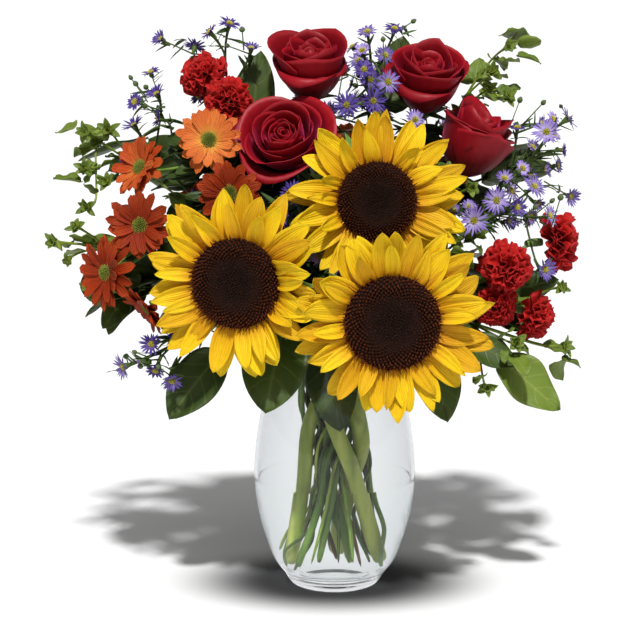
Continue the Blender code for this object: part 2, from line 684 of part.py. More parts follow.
def plan_roses(blockers):
    routes = {}
    for name, (middle, facing, radius, depth) in ROSES.items():
        middle, facing = np.array(middle, float), facing_of(facing)
        base = middle - facing * depth / 2
        routes[name] = [stem_route(name, base - facing * GAP, facing, STEM_RADIUS["rose"])]
        blockers.append(Blocker(name, middle + facing * depth * 0.08, facing, radius, depth * 0.43))
        blockers.append(Blocker(name, base, facing, 12, 8))
    return routes


def plan_spray(kind, name, ends, held_end):
    """The main stem goes to the first end, and a twig to each of the others."""
    (end, facing), *others = ends
    main = stem_route(name, end, facing, STEM_RADIUS[kind], held_end=held_end)
    thin, length = TWIG_RADIUS[kind], TWIG_LENGTH[kind]
    twigs = [twig_route(name, main, end, facing, thin, length) for end, facing in others]
    return [main, *twigs]


def plan_blooms(kind, sprays, blockers):
    routes = {}
    for name, blooms in sprays.items():
        ends = []
        for _, place, facing, radius in blooms:
            place, facing = np.array(place, float), facing_of(facing)
            back, middle, half_height = bloom_body(kind, radius)
            ends.append((place - facing * (back + 1.2), facing))
            blockers.append(Blocker(name, place + facing * middle, facing, radius, half_height))
        routes[name] = plan_spray(kind, name, ends, 4)
    return routes


def plan_florets(kind, sprays, blockers):
    routes = {}
    for name, florets in sprays.items():
        ends = []
        for place, facing, radius in florets:
            place, facing = np.array(place, float), facing_of(facing)
            ends.append((place - facing * 3, facing))
            blockers.append(Blocker(name, place - facing * 1.5, facing, radius, 2.5))
        routes[name] = plan_spray(kind, name, ends, 3)
    return routes


def plan_leaves(blockers):
    routes = {}
    for name, leaves in SALAL.items():
        ends = []
        for base, tip, width, facing in leaves:
            base, tip, facing = np.array(base, float), np.array(tip, float), facing_of(facing)
            along = unit(tip - base)
            ends.append((base + along * 4, along if ends else unit(along + np.array((0, 0, 0.8)))))
            normal = unit(facing - along * (facing @ along))
            for share in (0.28, 0.62):
                blockers.append(Blocker(name, base + (tip - base) * share, normal, width * 0.44, 1.5))
        routes[name] = plan_spray("salal", name, ends, 2)
    return routes


def make_blooms(kind, sprays, routes, make_bloom):
    for name, blooms in sprays.items():
        cups = bmesh.new()
        for letter, place, facing, radius in blooms:
            place, facing = np.array(place, float), facing_of(facing)
            make_bloom(f"{name}_bloom_{letter}", place, facing, radius)
            add_cup(cups, kind, place, facing, radius)
        make_spray(name + "_stems", kind, kind + "_stem", routes[name], cups)


def make_florets(kind, sprays, routes):
    for name, florets in sprays.items():
        ends = bmesh.new()
        for place, facing, radius in florets:
            add_floret(ends, place, facing_of(facing), radius)
        make_spray(name, kind, kind, routes[name], ends)


def make_leaves(routes):
    for name, leaves in SALAL.items():
        ends = bmesh.new()
        for base, tip, width, facing in leaves:
            add_leaf(ends, base, tip, width, facing_of(facing))
        make_spray(name, "salal", "salal", routes[name], ends)


def main():
    start_empty()
    blockers = []
    routes = plan_sunflowers(blockers)
    routes.update(plan_roses(blockers))
    routes.update(plan_blooms("carnation", CARNATIONS, blockers))
    routes.update(plan_blooms("daisy", DAISIES, blockers))
    routes.update(plan_florets("aster", ASTERS, blockers))
    routes.update(plan_florets("bupleurum", BUPLEURUM, blockers))
    routes.update(plan_leaves(blockers))
    settle([route for plant in routes.values() for route in plant], blockers)

    make_vase()
    for name, (head, facing, disc_radius, petal_radius, *_) in SUNFLOWERS.items():
        head = np.array(head, float)
        make_sunflower(name, head, facing_of(facing), disc_radius, petal_radius, routes[name][0])
    for name, (middle, facing, radius, depth) in ROSES.items():
        middle = np.array(middle, float)
        make_rose(name, middle, facing_of(facing), radius, depth, routes[name][0])
    make_blooms("carnation", CARNATIONS, routes, make_carnation)
    make_blooms("daisy", DAISIES, routes, make_daisy)
    make_florets("aster", ASTERS, routes)
    make_florets("bupleurum", BUPLEURUM, routes)
    make_leaves(routes)
    make_water([(plant[0], STEM_SIDES[name.split("_")[0]]) for name, plant in routes.items()])


main()
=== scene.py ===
import math

import bmesh
import bpy
import numpy as np
from mathutils import Matrix, Vector


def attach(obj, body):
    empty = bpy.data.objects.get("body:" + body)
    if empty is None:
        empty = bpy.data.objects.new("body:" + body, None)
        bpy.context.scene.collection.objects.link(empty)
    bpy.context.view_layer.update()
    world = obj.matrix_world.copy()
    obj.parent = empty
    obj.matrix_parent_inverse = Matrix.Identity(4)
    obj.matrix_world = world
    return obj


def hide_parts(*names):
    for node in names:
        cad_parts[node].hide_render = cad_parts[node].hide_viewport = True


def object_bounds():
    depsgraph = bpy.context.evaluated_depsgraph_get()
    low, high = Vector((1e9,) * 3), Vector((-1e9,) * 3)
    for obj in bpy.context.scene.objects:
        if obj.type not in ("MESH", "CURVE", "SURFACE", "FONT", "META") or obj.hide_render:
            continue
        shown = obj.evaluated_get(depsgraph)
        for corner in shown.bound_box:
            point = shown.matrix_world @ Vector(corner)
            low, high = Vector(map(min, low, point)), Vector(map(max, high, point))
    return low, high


# A mixed bouquet in a clear vase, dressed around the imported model. Metres, +Z up, the front is -Y.

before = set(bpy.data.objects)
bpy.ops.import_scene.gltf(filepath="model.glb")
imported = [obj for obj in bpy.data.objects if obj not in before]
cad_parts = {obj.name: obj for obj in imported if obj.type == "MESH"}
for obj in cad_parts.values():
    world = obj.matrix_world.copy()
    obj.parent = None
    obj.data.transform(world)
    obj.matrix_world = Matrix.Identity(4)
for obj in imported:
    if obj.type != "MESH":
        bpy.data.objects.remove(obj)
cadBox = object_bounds()
mm = 0.001
fullTurn = 2 * math.pi
goldenAngle = math.radians(137.508)
kinds = ("sunflower", "rose", "carnation", "daisy", "aster", "bupleurum", "salal")
plants = {kind: sorted(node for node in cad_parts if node.startswith(kind)) for kind in kinds}


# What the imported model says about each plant.

plates = {
    "flat": 0.9999,  # how nearly two faces must point the same way to belong to one plate
    "floret": (80, 2.0),  # least area in square mm, and as a share of the reach squared
    "leaf": (300, 0.45),
    "floretSides": 7,
    "leafSides": 2,  # mm between the two sides of one leaf, at most
}


def unit(vector):
    return vector / np.linalg.norm(vector)


def pointsOf(node):
    return np.array([vert.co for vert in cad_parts[node].data.vertices], float)


def mergedCopy(node):
    bm = bmesh.new()
    bm.from_mesh(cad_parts[node].data)
    bmesh.ops.remove_doubles(bm, verts=bm.verts, dist=0.02 * mm)
    return bm


def splitAlong(points, middle, axis):
    # how far each point is along the axis, and its offset from it
    away = points - middle
    along = away @ axis
    return along, away - np.outer(along, axis)


def bloomFrame(bloom, stem):
    # base point, axis pointing out of the flower, widest radius and depth of a turned bloom
    points, behind = pointsOf(bloom), pointsOf(stem)
    middle = points.mean(0)
    spread, axes = np.linalg.eigh(np.cov((points - middle).T))
    axis = axes[:, 0] if spread[1] - spread[0] > spread[2] - spread[1] else axes[:, 2]
    nearest = behind[np.linalg.norm(behind - middle, axis=1).argmin()]
    if (middle - nearest) @ axis < 0:
        axis = -axis
    along, level = splitAlong(points, middle, axis)
    return middle + axis * along.min(), axis, np.linalg.norm(level, axis=1).max(), np.ptp(along)


def flatFaces(node, least, fullness):
    # the large flat faces of a plant: middle, normal, outline points and area
    bm = mergedCopy(node)
    seen, found = set(), []
    for face in bm.faces:
        if face in seen:
            continue
        group, front = [], [face]
        seen.add(face)
        while front:
            here = front.pop()
            group.append(here)
            for edge in here.edges:
                for other in edge.link_faces:
                    if other not in seen and other.normal.dot(face.normal) > plates["flat"]:
                        seen.add(other)
                        front.append(other)
        area = sum(part.calc_area() for part in group)
        if area < least * mm * mm:
            continue
        points = np.array([vert.co for vert in {vert for part in group for vert in part.verts}])
        weighted = (part.calc_center_median() * part.calc_area() for part in group)
        middle = np.array(sum(weighted, Vector()) / area)
        reach = np.linalg.norm(points - middle, axis=1).max()
        if area > fullness * reach ** 2:
            found.append((middle, np.array(face.normal), points, area))
    bm.free()
    return found


def findFlorets(node):
    # each floret's plate: middle, facing and radius
    sides = plates["floretSides"]
    share = sides / 2 * math.sin(fullTurn / sides)
    found = flatFaces(node, *plates["floret"])
    return [(middle, normal, math.sqrt(area / share)) for middle, normal, _, area in found]


def findLeaves(node):
    # each leaf plate: base, tip, widest width and facing, once for its two sides
    leaves, middles = [], []
    for middle, normal, points, _ in flatFaces(node, *plates["leaf"]):
        if any(np.linalg.norm(middle - other) < plates["leafSides"] * mm for other in middles):
            continue
        if normal @ np.array((middle[0], middle[1], 0.12)) < 0:
            normal = -normal
        flat = points - middle
        long = np.linalg.eigh(np.cov(flat.T))[1][:, 2]
        along, across = flat @ long, flat @ np.cross(normal, long)
        if (along * np.abs(across)).sum() > 0:  # the widest stretch is nearer to the base
            long, along = -long, -along
        middles.append(middle)
        leaves.append((middle + long * along.min(), middle + long * along.max(), np.ptp(across), normal))
    return leaves


def placeAt(point, axis, turn=0.0):
    # local Z along the axis, local X level, then turned about the axis
    forward = Vector(axis).normalized()
    across = Vector((0, 0, 1)).cross(forward)
    across = Vector((1, 0, 0)) if across.length < 0.05 else across.normalized()
    stood = Matrix((across, forward.cross(across), forward)).transposed().to_4x4()
    return Matrix.Translation(Vector(point)) @ stood @ Matrix.Rotation(turn, 4, "Z")


def leafAt(base, along, facing):
    # local Y along the leaf, local Z out of its upper side
    along = Vector(along).normalized()
    facing = Vector(facing)
    facing = (facing - along * facing.dot(along)).normalized()
    laid = Matrix((along.cross(facing), along, facing)).transposed().to_4x4()
    return Matrix.Translation(Vector(base)) @ laid


def turnedBy(place, turn):
    return place @ Matrix.Rotation(turn, 4, "Z")


def movedUp(place, height):
    return place @ Matrix.Translation((0, 0, height * mm))


def ringTurn(rng, k, count, stray):
    # the angle of petal k in a ring, a little out of its even place
    return (k + rng.uniform(-stray, stray)) / count * fullTurn


def tilt(rng, low, high):
    return math.radians(rng.uniform(low, high))


# How a finished piece is made.

def addObject(name, data):
    made = bpy.data.objects.new(name, data)
    bpy.context.scene.collection.objects.link(made)
    return made


def meshFrom(name, bm):
    mesh = bpy.data.meshes.new(name)
    bm.to_mesh(mesh)
    bm.free()
    return mesh


def makePiece(name, bm, finish, nodes=(), thickness=0.0, levels=0, outward=False):
    if outward:
        bmesh.ops.recalc_face_normals(bm, faces=bm.faces)
    mesh = meshFrom(name, bm)
    mesh.shade_smooth()
    mesh.materials.append(finish)
    piece = addObject(name, mesh)
    if thickness:
        wall = piece.modifiers.new("thickness", "SOLIDIFY")
        wall.thickness = thickness * mm
        wall.offset = 0
    if levels:
        smooth = piece.modifiers.new("smooth", "SUBSURF")
        smooth.levels = smooth.render_levels = levels
    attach(piece, "root")
    if nodes:
        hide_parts(*nodes)
    return piece


def newSheet():
    # a bmesh whose faces carry a UV map, and whose points carry a tone
    bm = bmesh.new()
    bm.loops.layers.uv.new("sheet")
    bm.verts.layers.float.new("tone")
    return bm


def setTone(bm, verts, tone):
    layer = bm.verts.layers.float["tone"]
    for vert in verts:
        vert[layer] = tone


def moved(points, place):
    matrix = np.array(place)
    return points @ matrix[:3, :3].T + matrix[:3, 3]


def addSheet(bm, place, form, columns, rows, tone):
    # one petal or leaf: a grid moved to the places that form(u, v) gives, u from -1 to 1 and v from 0 to 1
    made = bmesh.ops.create_grid(bm, x_segments=columns, y_segments=rows, size=0.5, calc_uvs=True)["verts"]
    grid = np.array([vert.co for vert in made])
    for vert, spot in zip(made, moved(form(grid[:, 0] * 2, grid[:, 1] + 0.5), place).tolist()):
        vert.co = spot
    setTone(bm, made, tone)


def addCone(bm, place, sides, foot, top, tall):
    return bmesh.ops.create_cone(
        bm, cap_ends=True, segments=sides, radius1=foot, radius2=top, depth=tall, matrix=place,
    )["verts"]


def addRod(bm, start, end, startRadius, endRadius, sides=5, tone=0.0):
    # a straight tapered rod between two points, with its radii in mm
    start, end = Vector(start), Vector(end)
    away = end - start
    place = Matrix.Translation((start + end) / 2) @ away.to_track_quat("Z", "Y").to_matrix().to_4x4()
    setTone(bm, addCone(bm, place, sides, startRadius * mm, endRadius * mm, away.length), tone)


def addBud(bm, place, radius, length, tone=0.0):
    # an egg that stands on the place, in mm, with a tone that rises towards its tip
    made = bmesh.ops.create_icosphere(bm, subdivisions=2, radius=1)["verts"]
    layer = bm.verts.layers.float["tone"]
    for vert in made:
        vert[layer] = tone + (vert.co.z + 1) / 2
        taper = 1 - 0.3 * max(0.0, vert.co.z)
        vert.co.x *= taper
        vert.co.y *= taper
    radius, length = radius * mm, length * mm
    shape = Matrix.Translation((0, 0, length / 2)) @ Matrix.Diagonal((radius, radius, length / 2, 1))
    bmesh.ops.transform(bm, matrix=place @ shape, verts=made)


def addDome(bm, place, radius, height, count, tall, rng, lean=20.0):
    # small pointed florets in a spiral over a dome, with its sizes in mm
    radius, height, tall = radius * mm, height * mm, tall * mm
    size = radius / math.sqrt(count) * 1.15
    for k in range(count):
        share = math.sqrt((k + 0.5) / count)
        spot = (
            turnedBy(place, k * goldenAngle)
            @ Matrix.Translation((radius * share, 0, height * (1 - share ** 2)))
            @ Matrix.Rotation(math.radians(lean * share + rng.uniform(-9, 9)), 4, "Y")
        )
        setTone(bm, addCone(bm, spot, 4, size, size * 0.45, tall * 2), share)


# The shapes of petals and leaves.

def outlineWidth(v, start, rise, fall):
    # 1 at the widest, with powers that set how full the two ends are
    t = np.linspace(0, 1, 60)
    widest = ((t + start) ** rise * (1 - t) ** fall).max()
    return (v + start) ** rise * np.clip(1 - v, 0, 1) ** fall / widest


def blade(length, width, outline, lift=0.0, bend=0.0, curl=0.0, cup=0.0, ridge=0.0, ridges=2.0, ripple=0.0,
          ripples=3.0, phase=0.0, twist=0.0, side=0.0, out=0.0, up=0.0, teeth=0.0, toothCount=9.0):
    # a strap that leaves the flower's middle along Y, rises by lift and bends along its length
    steps = 40
    t = np.linspace(0, 1, steps)
    angle = lift + bend * t + curl * t ** 4
    headings = np.column_stack((np.cos(angle), np.sin(angle)))
    path = np.vstack(((0, 0), np.cumsum((headings[1:] + headings[:-1]) / 2, axis=0))) * length / (steps - 1)

    def form(u, v):
        half = width / 2 * outlineWidth(v, *outline)
        half = half * (1 - teeth * np.abs(np.sin(v * math.pi * toothCount)) * np.abs(u))
        heading = lift + bend * v + curl * v ** 4
        height = cup * u ** 2 * half
        height = height + ridge * np.cos(u * math.pi * ridges) * np.clip(half / (width / 2), 0, 1)
        height = height + ripple * np.sin(v * math.pi * ripples + phase + np.sign(u) * 0.9) * u ** 2
        across = u * half
        cos, sin = np.cos(twist * v), np.sin(twist * v)
        across, height = across * cos - height * sin, across * sin + height * cos
        y = out + np.interp(v, t, path[:, 0]) - height * np.sin(heading)
        z = up + np.interp(v, t, path[:, 1]) + height * np.cos(heading)
        return np.column_stack((across + side * v ** 2, y, z))

    return form


def fan(length, width, lift, bend, ruffle, ruffles, fringe, phase, out=0.0, up=0.0):
    # a petal that widens to a ruffled and fringed edge
    def form(u, v):
        longer = 1 + fringe * np.abs((u * 7 + phase) % 1 * 2 - 1) * v ** 3 - 0.16 * u ** 2
        wave = ruffle * np.sin(u * ruffles * math.pi + phase) * v ** 1.6
        half = width / 2 * (0.16 + 0.84 * v ** 0.8)
        heading = lift + bend * v
        y = out + length * v * longer * np.cos(heading) - wave * np.sin(heading)
        z = up + length * v * longer * np.sin(heading) + wave * np.cos(heading)
        return np.column_stack((u * half, y, z))

    return form


def cupPetal(turn, spread, radius, height, closing, flare, roll, tuck, wave, phase, point):
    # a petal that wraps round the flower's axis, with a lip that may roll outwards
    def form(u, v):
        lower = v * (1 - 0.2 * np.abs(u) ** 2.6) + point * (1 - np.abs(u)) ** 2 * v ** 4
        lip = np.clip((lower - 0.66) / 0.34, 0, 1.2)
        out = radius * (1 - (1 - np.clip(lower, 0, 1)) ** 2.4) * (1 - closing * lower ** 2)
        out = out + flare * lip ** 1.8 + tuck * u * lower + wave * np.sin(u * 4.2 + phase) * lip
        rise = height * lower ** 1.25 - roll * lip ** 3 + wave * 0.6 * np.sin(u * 5 + phase * 2) * lip
        swing = turn + u * spread * (0.30 + 0.70 * np.sin(np.clip(lower * 1.1, 0, 1) * math.pi / 2))
        return np.column_stack((out * np.cos(swing), out * np.sin(swing), rise))

    return form


# How a finish is made.

class Nodes:
    # a node tree with a few shorthands
    def __init__(self, tree):
        self.tree = tree

    def fill(self, node, sockets):
        # a socket gets a number, a colour or another node's output
        for key, value in sockets.items():
            socket = node.inputs[key.replace("_", " ") if isinstance(key, str) else key]
            if isinstance(value, bpy.types.NodeSocket):
                self.tree.links.new(value, socket)
            else:
                socket.default_value = (*value, 1)[:4] if socket.type == "RGBA" else value
        return node

    def node(self, kind, settings=(), **sockets):
        made = self.tree.nodes.new("ShaderNode" + kind)
        for setting, value in dict(settings).items():
            setattr(made, setting, value)
        return self.fill(made, sockets)

    def maths(self, operation, first, second=0.5, clamp=False):
        made = self.node("Math", {"operation": operation, "use_clamp": clamp})
        return self.fill(made, {0: first, 1: second}).outputs[0]

    def plus(self, first, second, clamp=False):
        return self.maths("ADD", first, second, clamp)

    def minus(self, first, second, clamp=False):
        return self.maths("SUBTRACT", first, second, clamp)

    def times(self, first, second, clamp=False):
        return self.maths("MULTIPLY", first, second, clamp)

    def fade(self, value, start, end, low=0.0, high=1.0, curve="SMOOTHSTEP"):
        made = self.node("MapRange", {"interpolation_type": curve}, Value=value, From_Min=start, From_Max=end)
        return self.fill(made, {"To_Min": low, "To_Max": high}).outputs["Result"]

    def mix(self, amount, first, second):
        made = self.node("Mix", {"data_type": "RGBA"})
        return self.fill(made, {0: amount, 6: first, 7: second}).outputs[2]

    def ramp(self, source, *stops):
        made = self.node("ValToRGB", Fac=source)
        while len(made.color_ramp.elements) < len(stops):
            made.color_ramp.elements.new(0.5)
        for element, (place, colour) in zip(made.color_ramp.elements, stops):
            element.position = place
            element.color = (*colour, 1)
        return made.outputs["Color"]

    def noise(self, scale, detail=3.0, stretch=None):
        source = self.node("TexCoord").outputs["Object"]
        if stretch:
            source = self.node("Mapping", Vector=source, Scale=stretch).outputs["Vector"]
        return self.node("TexNoise", Vector=source, Scale=scale, Detail=detail).outputs["Fac"]

    def ray(self, kind):
        return self.node("LightPath").outputs[f"Is {kind} Ray"]


class Finish(Nodes):
    # a Principled material
    def __init__(self, name, **sockets):
        self.material = bpy.data.materials.new(name)
        self.material.use_nodes = True
        super().__init__(self.material.node_tree)
        self.shader = self.fill(self.tree.nodes["Principled BSDF"], sockets)

    def colour(self, source):
        self.fill(self.shader, {"Base_Color": source})

    def bump(self, height, distance, strength):
        made = self.node("Bump", Height=height, Distance=distance, Strength=strength)
        self.fill(self.shader, {"Normal": made.outputs["Normal"]})

    def blend(self, amount, other):
        # the finish mixed with another shader
        made = self.fill(self.node("MixShader"), {0: amount, 1: self.shader.outputs[0], 2: other.outputs[0]})
        self.fill(self.tree.nodes["Material Output"], {"Surface": made.outputs[0]})

    def sheet(self):
        # across the petal or leaf from -1 to 1, and along it
        spot = self.node("UVMap", {"uv_map": "sheet"}).outputs["UV"]
        split = self.node("SeparateXYZ", Vector=spot)
        return self.times(self.minus(split.outputs["X"], 0.5), 2.0), split.outputs["Y"]

    def tone(self):
        return self.node("Attribute", {"attribute_name": "tone"}).outputs["Fac"]

    def spots(self, scale, detail, least, contrast):
        # sparse marks where the noise is above the least
        return self.times(self.minus(self.noise(scale, detail), least, clamp=True), contrast, clamp=True)


def petalFinish(name, base, middle, tip, shade, lines=9.0, depth=0.3, streak=0.28, **sockets):
    # colour along the petal, darker veins along it, and a tone of its own for each petal
    made = Finish(name, **sockets)
    across, along = made.sheet()
    bent = made.plus(across, made.times(made.minus(made.noise(90.0), 0.5), 0.12))
    ribs = made.maths("COSINE", made.times(bent, lines * math.pi))
    ribs = made.times(made.plus(ribs, 1.0), 0.5)
    blended = made.ramp(along, (0.0, base), (0.45, middle), (1.0, tip))
    shaded = made.mix(made.times(made.maths("POWER", ribs, 3.0), streak), blended, shade)
    speckled = made.minus(made.times(made.noise(260.0), 0.3), 0.15)
    made.colour(made.mix(made.plus(made.times(made.tone(), 0.75), speckled, clamp=True), shaded, shade))
    made.bump(made.minus(1.0, ribs), depth * mm, 0.7)
    return made.material


def leafFinish(name, dark, light, vein, pairs, **sockets):
    # side veins that sweep forward from a paler midrib
    made = Finish(name, **sockets)
    across, along = made.sheet()
    away = made.maths("ABSOLUTE", across)
    sweep = made.minus(along, made.times(away, 0.22))
    wander = made.times(made.noise(60.0), 0.05)
    wave = made.maths("COSINE", made.times(made.plus(sweep, wander), pairs * fullTurn))
    side = made.maths("POWER", made.times(made.plus(wave, 1.0), 0.5), 24.0)
    rib = made.maths("POWER", made.minus(1.0, away, clamp=True), 22.0)
    veins = made.plus(made.times(side, 0.4), rib, clamp=True)
    patches = made.times(made.noise(45.0), 0.7)
    ground = made.mix(made.plus(patches, made.times(made.tone(), 0.5), clamp=True), dark, light)
    made.colour(made.mix(made.times(veins, 0.45), ground, vein))
    made.bump(made.plus(made.minus(1.0, veins), made.times(made.noise(700.0), 0.25)), 0.4 * mm, 0.6)
    return made.material


def stemFinish(name, dark, light, marks, roughness):
    # streaks along the stem and a few darker marks
    made = Finish(name, Roughness=roughness, Specular_IOR_Level=0.35)
    streaks = made.noise(120.0, 4.0, (1.0, 1.0, 0.08))
    ground = made.ramp(streaks, (0.3, dark), (0.7, light))
    made.colour(made.mix(made.spots(55.0, 2.0, 0.62, 4.0), ground, marks))
    made.bump(made.plus(streaks, made.times(made.noise(900.0), 0.2)), 0.4 * mm, 0.5)
    return made.material


def toneFinish(name, stops, fleck=None, **sockets):
    # florets and buds, coloured by their tone with small flecks
    made = Finish(name, **sockets)
    ground = made.ramp(made.tone(), *stops)
    if fleck:
        ground = made.mix(made.times(made.spots(1500.0, 3.0, 0.6, 5.0), 0.35), ground, fleck)
    made.colour(ground)
    made.bump(made.noise(900.0), 0.3 * mm, 0.4)
    return made.material


# The plants' stems, merged and smoothed, with their plates drawn in to cups and midribs.

stems = {
    "grow": 0.35,
    "cup": 0.26,  # what is left of a plate's radius under the florets
    "midrib": 0.05,  # and of a leaf plate's width
    "cupReach": (-5.6, 1, 1.4, 1.04),  # mm behind and before a plate, off its axis, times its radius
    "ribReach": (1.6, 0.52),  # mm off a leaf plate, and times its width
    "kinds": {  # dark, light and marks of the stems, and roughness
        "sunflower": ((0.17, 0.25, 0.03), (0.46, 0.50, 0.12), (0.16, 0.14, 0.04), 0.5),
        "rose": ((0.035, 0.085, 0.010), (0.11, 0.19, 0.025), (0.07, 0.035, 0.015), 0.45),
        "carnation": ((0.08, 0.16, 0.03), (0.20, 0.30, 0.07), (0.08, 0.10, 0.03), 0.5),
        "daisy": ((0.06, 0.13, 0.012), (0.19, 0.29, 0.035), (0.07, 0.07, 0.02), 0.55),
        "aster": ((0.025, 0.05, 0.008), (0.07, 0.12, 0.018), (0.05, 0.03, 0.015), 0.6),
        "bupleurum": ((0.09, 0.16, 0.014), (0.27, 0.34, 0.045), (0.10, 0.10, 0.02), 0.5),
        "salal": ((0.040, 0.017, 0.010), (0.085, 0.045, 0.022), (0.028, 0.022, 0.012), 0.6),
    },
}


def stalkCopy(node, florets=(), leaves=()):
    bm = mergedCopy(node)
    bmesh.ops.join_triangles(bm, faces=bm.faces, angle_face_threshold=0.5, angle_shape_threshold=0.7)
    points = np.array([vert.co for vert in bm.verts])
    behind, before, core, around = stems["cupReach"]
    for middle, facing, radius in florets:
        along, level = splitAlong(points, middle, facing)
        out = np.linalg.norm(level, axis=1)
        near = (along > behind * mm) & (along < before * mm) & (out > core * mm) & (out < radius * around)
        points[near] -= level[near] * (1 - stems["cup"])
    off, aside = stems["ribReach"]
    for base, tip, width, facing in leaves:
        length = np.linalg.norm(tip - base)
        forward = (tip - base) / length
        across = np.cross(facing, forward)
        away = points - base
        near = (np.abs(away @ facing) < off * mm) & (np.abs(away @ across) < width * aside)
        near &= (away @ forward > -mm) & (away @ forward < length + mm)
        points[near] -= np.outer(away[near] @ across, across) * (1 - stems["midrib"])
    bm.normal_update()
    for vert, point in zip(bm.verts, points):
        vert.co = Vector(point) + vert.normal * stems["grow"] * mm
    return bm


def stemsOf(kind):
    return [node for node in plants[kind] if node.endswith(("_stem", "_stems"))]


def makeStems():
    finishes = {kind: stemFinish(kind + " stems", *look) for kind, look in stems["kinds"].items()}
    for kind in ("sunflower", "rose", "carnation", "daisy"):
        for node in stemsOf(kind):
            makePiece(node + "_green", stalkCopy(node), finishes[kind], [node], levels=1)
    for kind, find in (("aster", findFlorets), ("bupleurum", findFlorets), ("salal", findLeaves)):
        for node in plants[kind]:
            ends = find(node)
            stalk = stalkCopy(node, leaves=ends) if kind == "salal" else stalkCopy(node, florets=ends)
            makePiece(node + "_stalks", stalk, finishes[kind], [node], levels=1)
    print("stems")


# The vase and its water.

vase = {
    "outline": (  # height and outer radius
        (0, 30), (1.2, 32.5), (4, 35), (9, 38), (20, 46), (36, 52), (56, 57.5), (80, 60.5), (104, 59.5),
        (134, 55), (158, 48.5), (178, 43), (188, 44), (195.5, 46.8),
    ),
    "wall": 2.6,
    "floor": 5.0,
    "under": ((0, 0.8), (12, 0.6), (22, 0.9), (26.5, 0.2), (28.5, 0)),  # radius and height below the foot
    "bowl": 8,  # the inside rounds off this far above the floor
    "steps": 128,
    "rows": 72,
    "waterLevel": 82.0,
    "hold": 0.25,  # the water reaches this far into the glass, so that no air shows between them
    "meniscus": ((0, 0.5), (-0.8, 0.1), (-2.0, 0)),  # from the wall, and above the level
    "stillShare": 0.93,  # of the water's level faces that doesn't bend what is seen
    "bending": 1.32,
    "waterBending": 1.06,
    "glass": (0.955, 0.968, 0.975, 1),
    "rim": (0.55, 0.58, 0.61),  # its colour where it is seen edge on
    "glassLit": (0.95, 0.96, 0.97, 1),  # what lamps keep at each side of the wall
    "water": (0.98, 1.0, 0.99, 1),
    "waterLit": (1.0, 1.0, 1.0, 1),
}


def smoothOutline(pairs, count):
    # a smooth curve through the pairs, evenly shared between them
    pairs = np.array(pairs, float)
    share = np.linspace(0, len(pairs) - 1, count)
    index = np.clip(share.astype(int), 0, len(pairs) - 2)
    t = (share - index)[:, None]
    padded = np.vstack((2 * pairs[0] - pairs[1], pairs, 2 * pairs[-1] - pairs[-2]))
    a, b, c, d = (padded[index + k] for k in range(4))
    square, cube = 2 * a - 5 * b + 4 * c - d, 3 * b - a - 3 * c + d
    return 0.5 * (2 * b + (c - a) * t + square * t ** 2 + cube * t ** 3)


def turned(profile, steps):
    # a solid of revolution from (radius, height) points in mm that start and end on the axis
    bm = bmesh.new()
    verts = [bm.verts.new((radius * mm, 0, height * mm)) for radius, height in profile]
    edges = [bm.edges.new(pair) for pair in zip(verts, verts[1:])]
    bmesh.ops.spin(
        bm, geom=[*verts, *edges], axis=(0, 0, 1), cent=(0, 0, 0), dvec=(0, 0, 0),
        angle=fullTurn, steps=steps, use_merge=True, use_duplicate=False,
    )
    bmesh.ops.remove_doubles(bm, verts=bm.verts, dist=0.001 * mm)
    bmesh.ops.recalc_face_normals(bm, faces=bm.faces)
    return bm


def clearFinish(name, tint, bending, lit, clearShare=None, rim=None):
    # lamps shine through it to what it holds, or else a clear share of it doesn't bend what is seen
    made = Finish(name, Base_Color=tint, Roughness=0.0, Transmission_Weight=1.0, IOR=bending)
    if rim:
        made.colour(made.mix(made.node("LayerWeight", Blend=0.3).outputs["Facing"], tint, rim))
    clear = made.node("BsdfTransparent", Color=lit)
    made.blend(made.ray("Shadow") if clearShare is None else clearShare, clear)
    return made.material


def makeVase():
    outer = smoothOutline(vase["outline"], vase["rows"])
    wall, floor, steps = vase["wall"], vase["floor"], vase["steps"]
    top = outer[-1]
    lip = [
        (top[1] - wall / 2 + wall / 2 * math.cos(turn), top[0] + wall / 2 * math.sin(turn))
        for turn in np.linspace(0.2, math.pi - 0.1, 9)
    ]
    inner = [(radius - wall, height) for height, radius in outer[::-1] if height > floor + vase["bowl"]]
    bowl = inner[-1]
    inside = [
        (bowl[0] * math.sin(turn), floor + (bowl[1] - floor) * (1 - math.cos(turn)))
        for turn in np.linspace(math.pi / 2, 0, 12)[1:]
    ]
    inside[-1] = (0, floor)
    profile = [*vase["under"], *outer[:, ::-1].tolist(), *lip, *inner, *inside]
    glass = clearFinish("clear glass", vase["glass"], vase["bending"], vase["glassLit"], rim=vase["rim"])
    makePiece("vase_glass", turned(profile, steps), glass, ["glass_vase"])

    level, hold = vase["waterLevel"], vase["hold"]
    wet = [(radius + hold, height) for radius, height in reversed(inner) if height < level - 1]
    bottom = [(radius + hold if radius else 0, height - hold) for radius, height in reversed(inside)]
    edge = np.interp(level, outer[:, 0], outer[:, 1]) - wall + hold
    surface = [*((edge + away, level + above) for away, above in vase["meniscus"]), (0, level)]
    look = vase["water"], vase["waterBending"], vase["waterLit"]
    still = clearFinish("still water", *look)
    body = makePiece("vase_water", turned([*bottom, *wet, *surface], steps), still, ["water"])
    body.data.materials.append(clearFinish("water surface", *look, clearShare=vase["stillShare"]))
    for face in body.data.polygons:
        face.material_index = int(abs(face.normal.z) > 0.5)
    print("vase and water")


# Sunflowers: two rows of ray petals and a few small ones, a dark disc of florets, and green bracts behind.

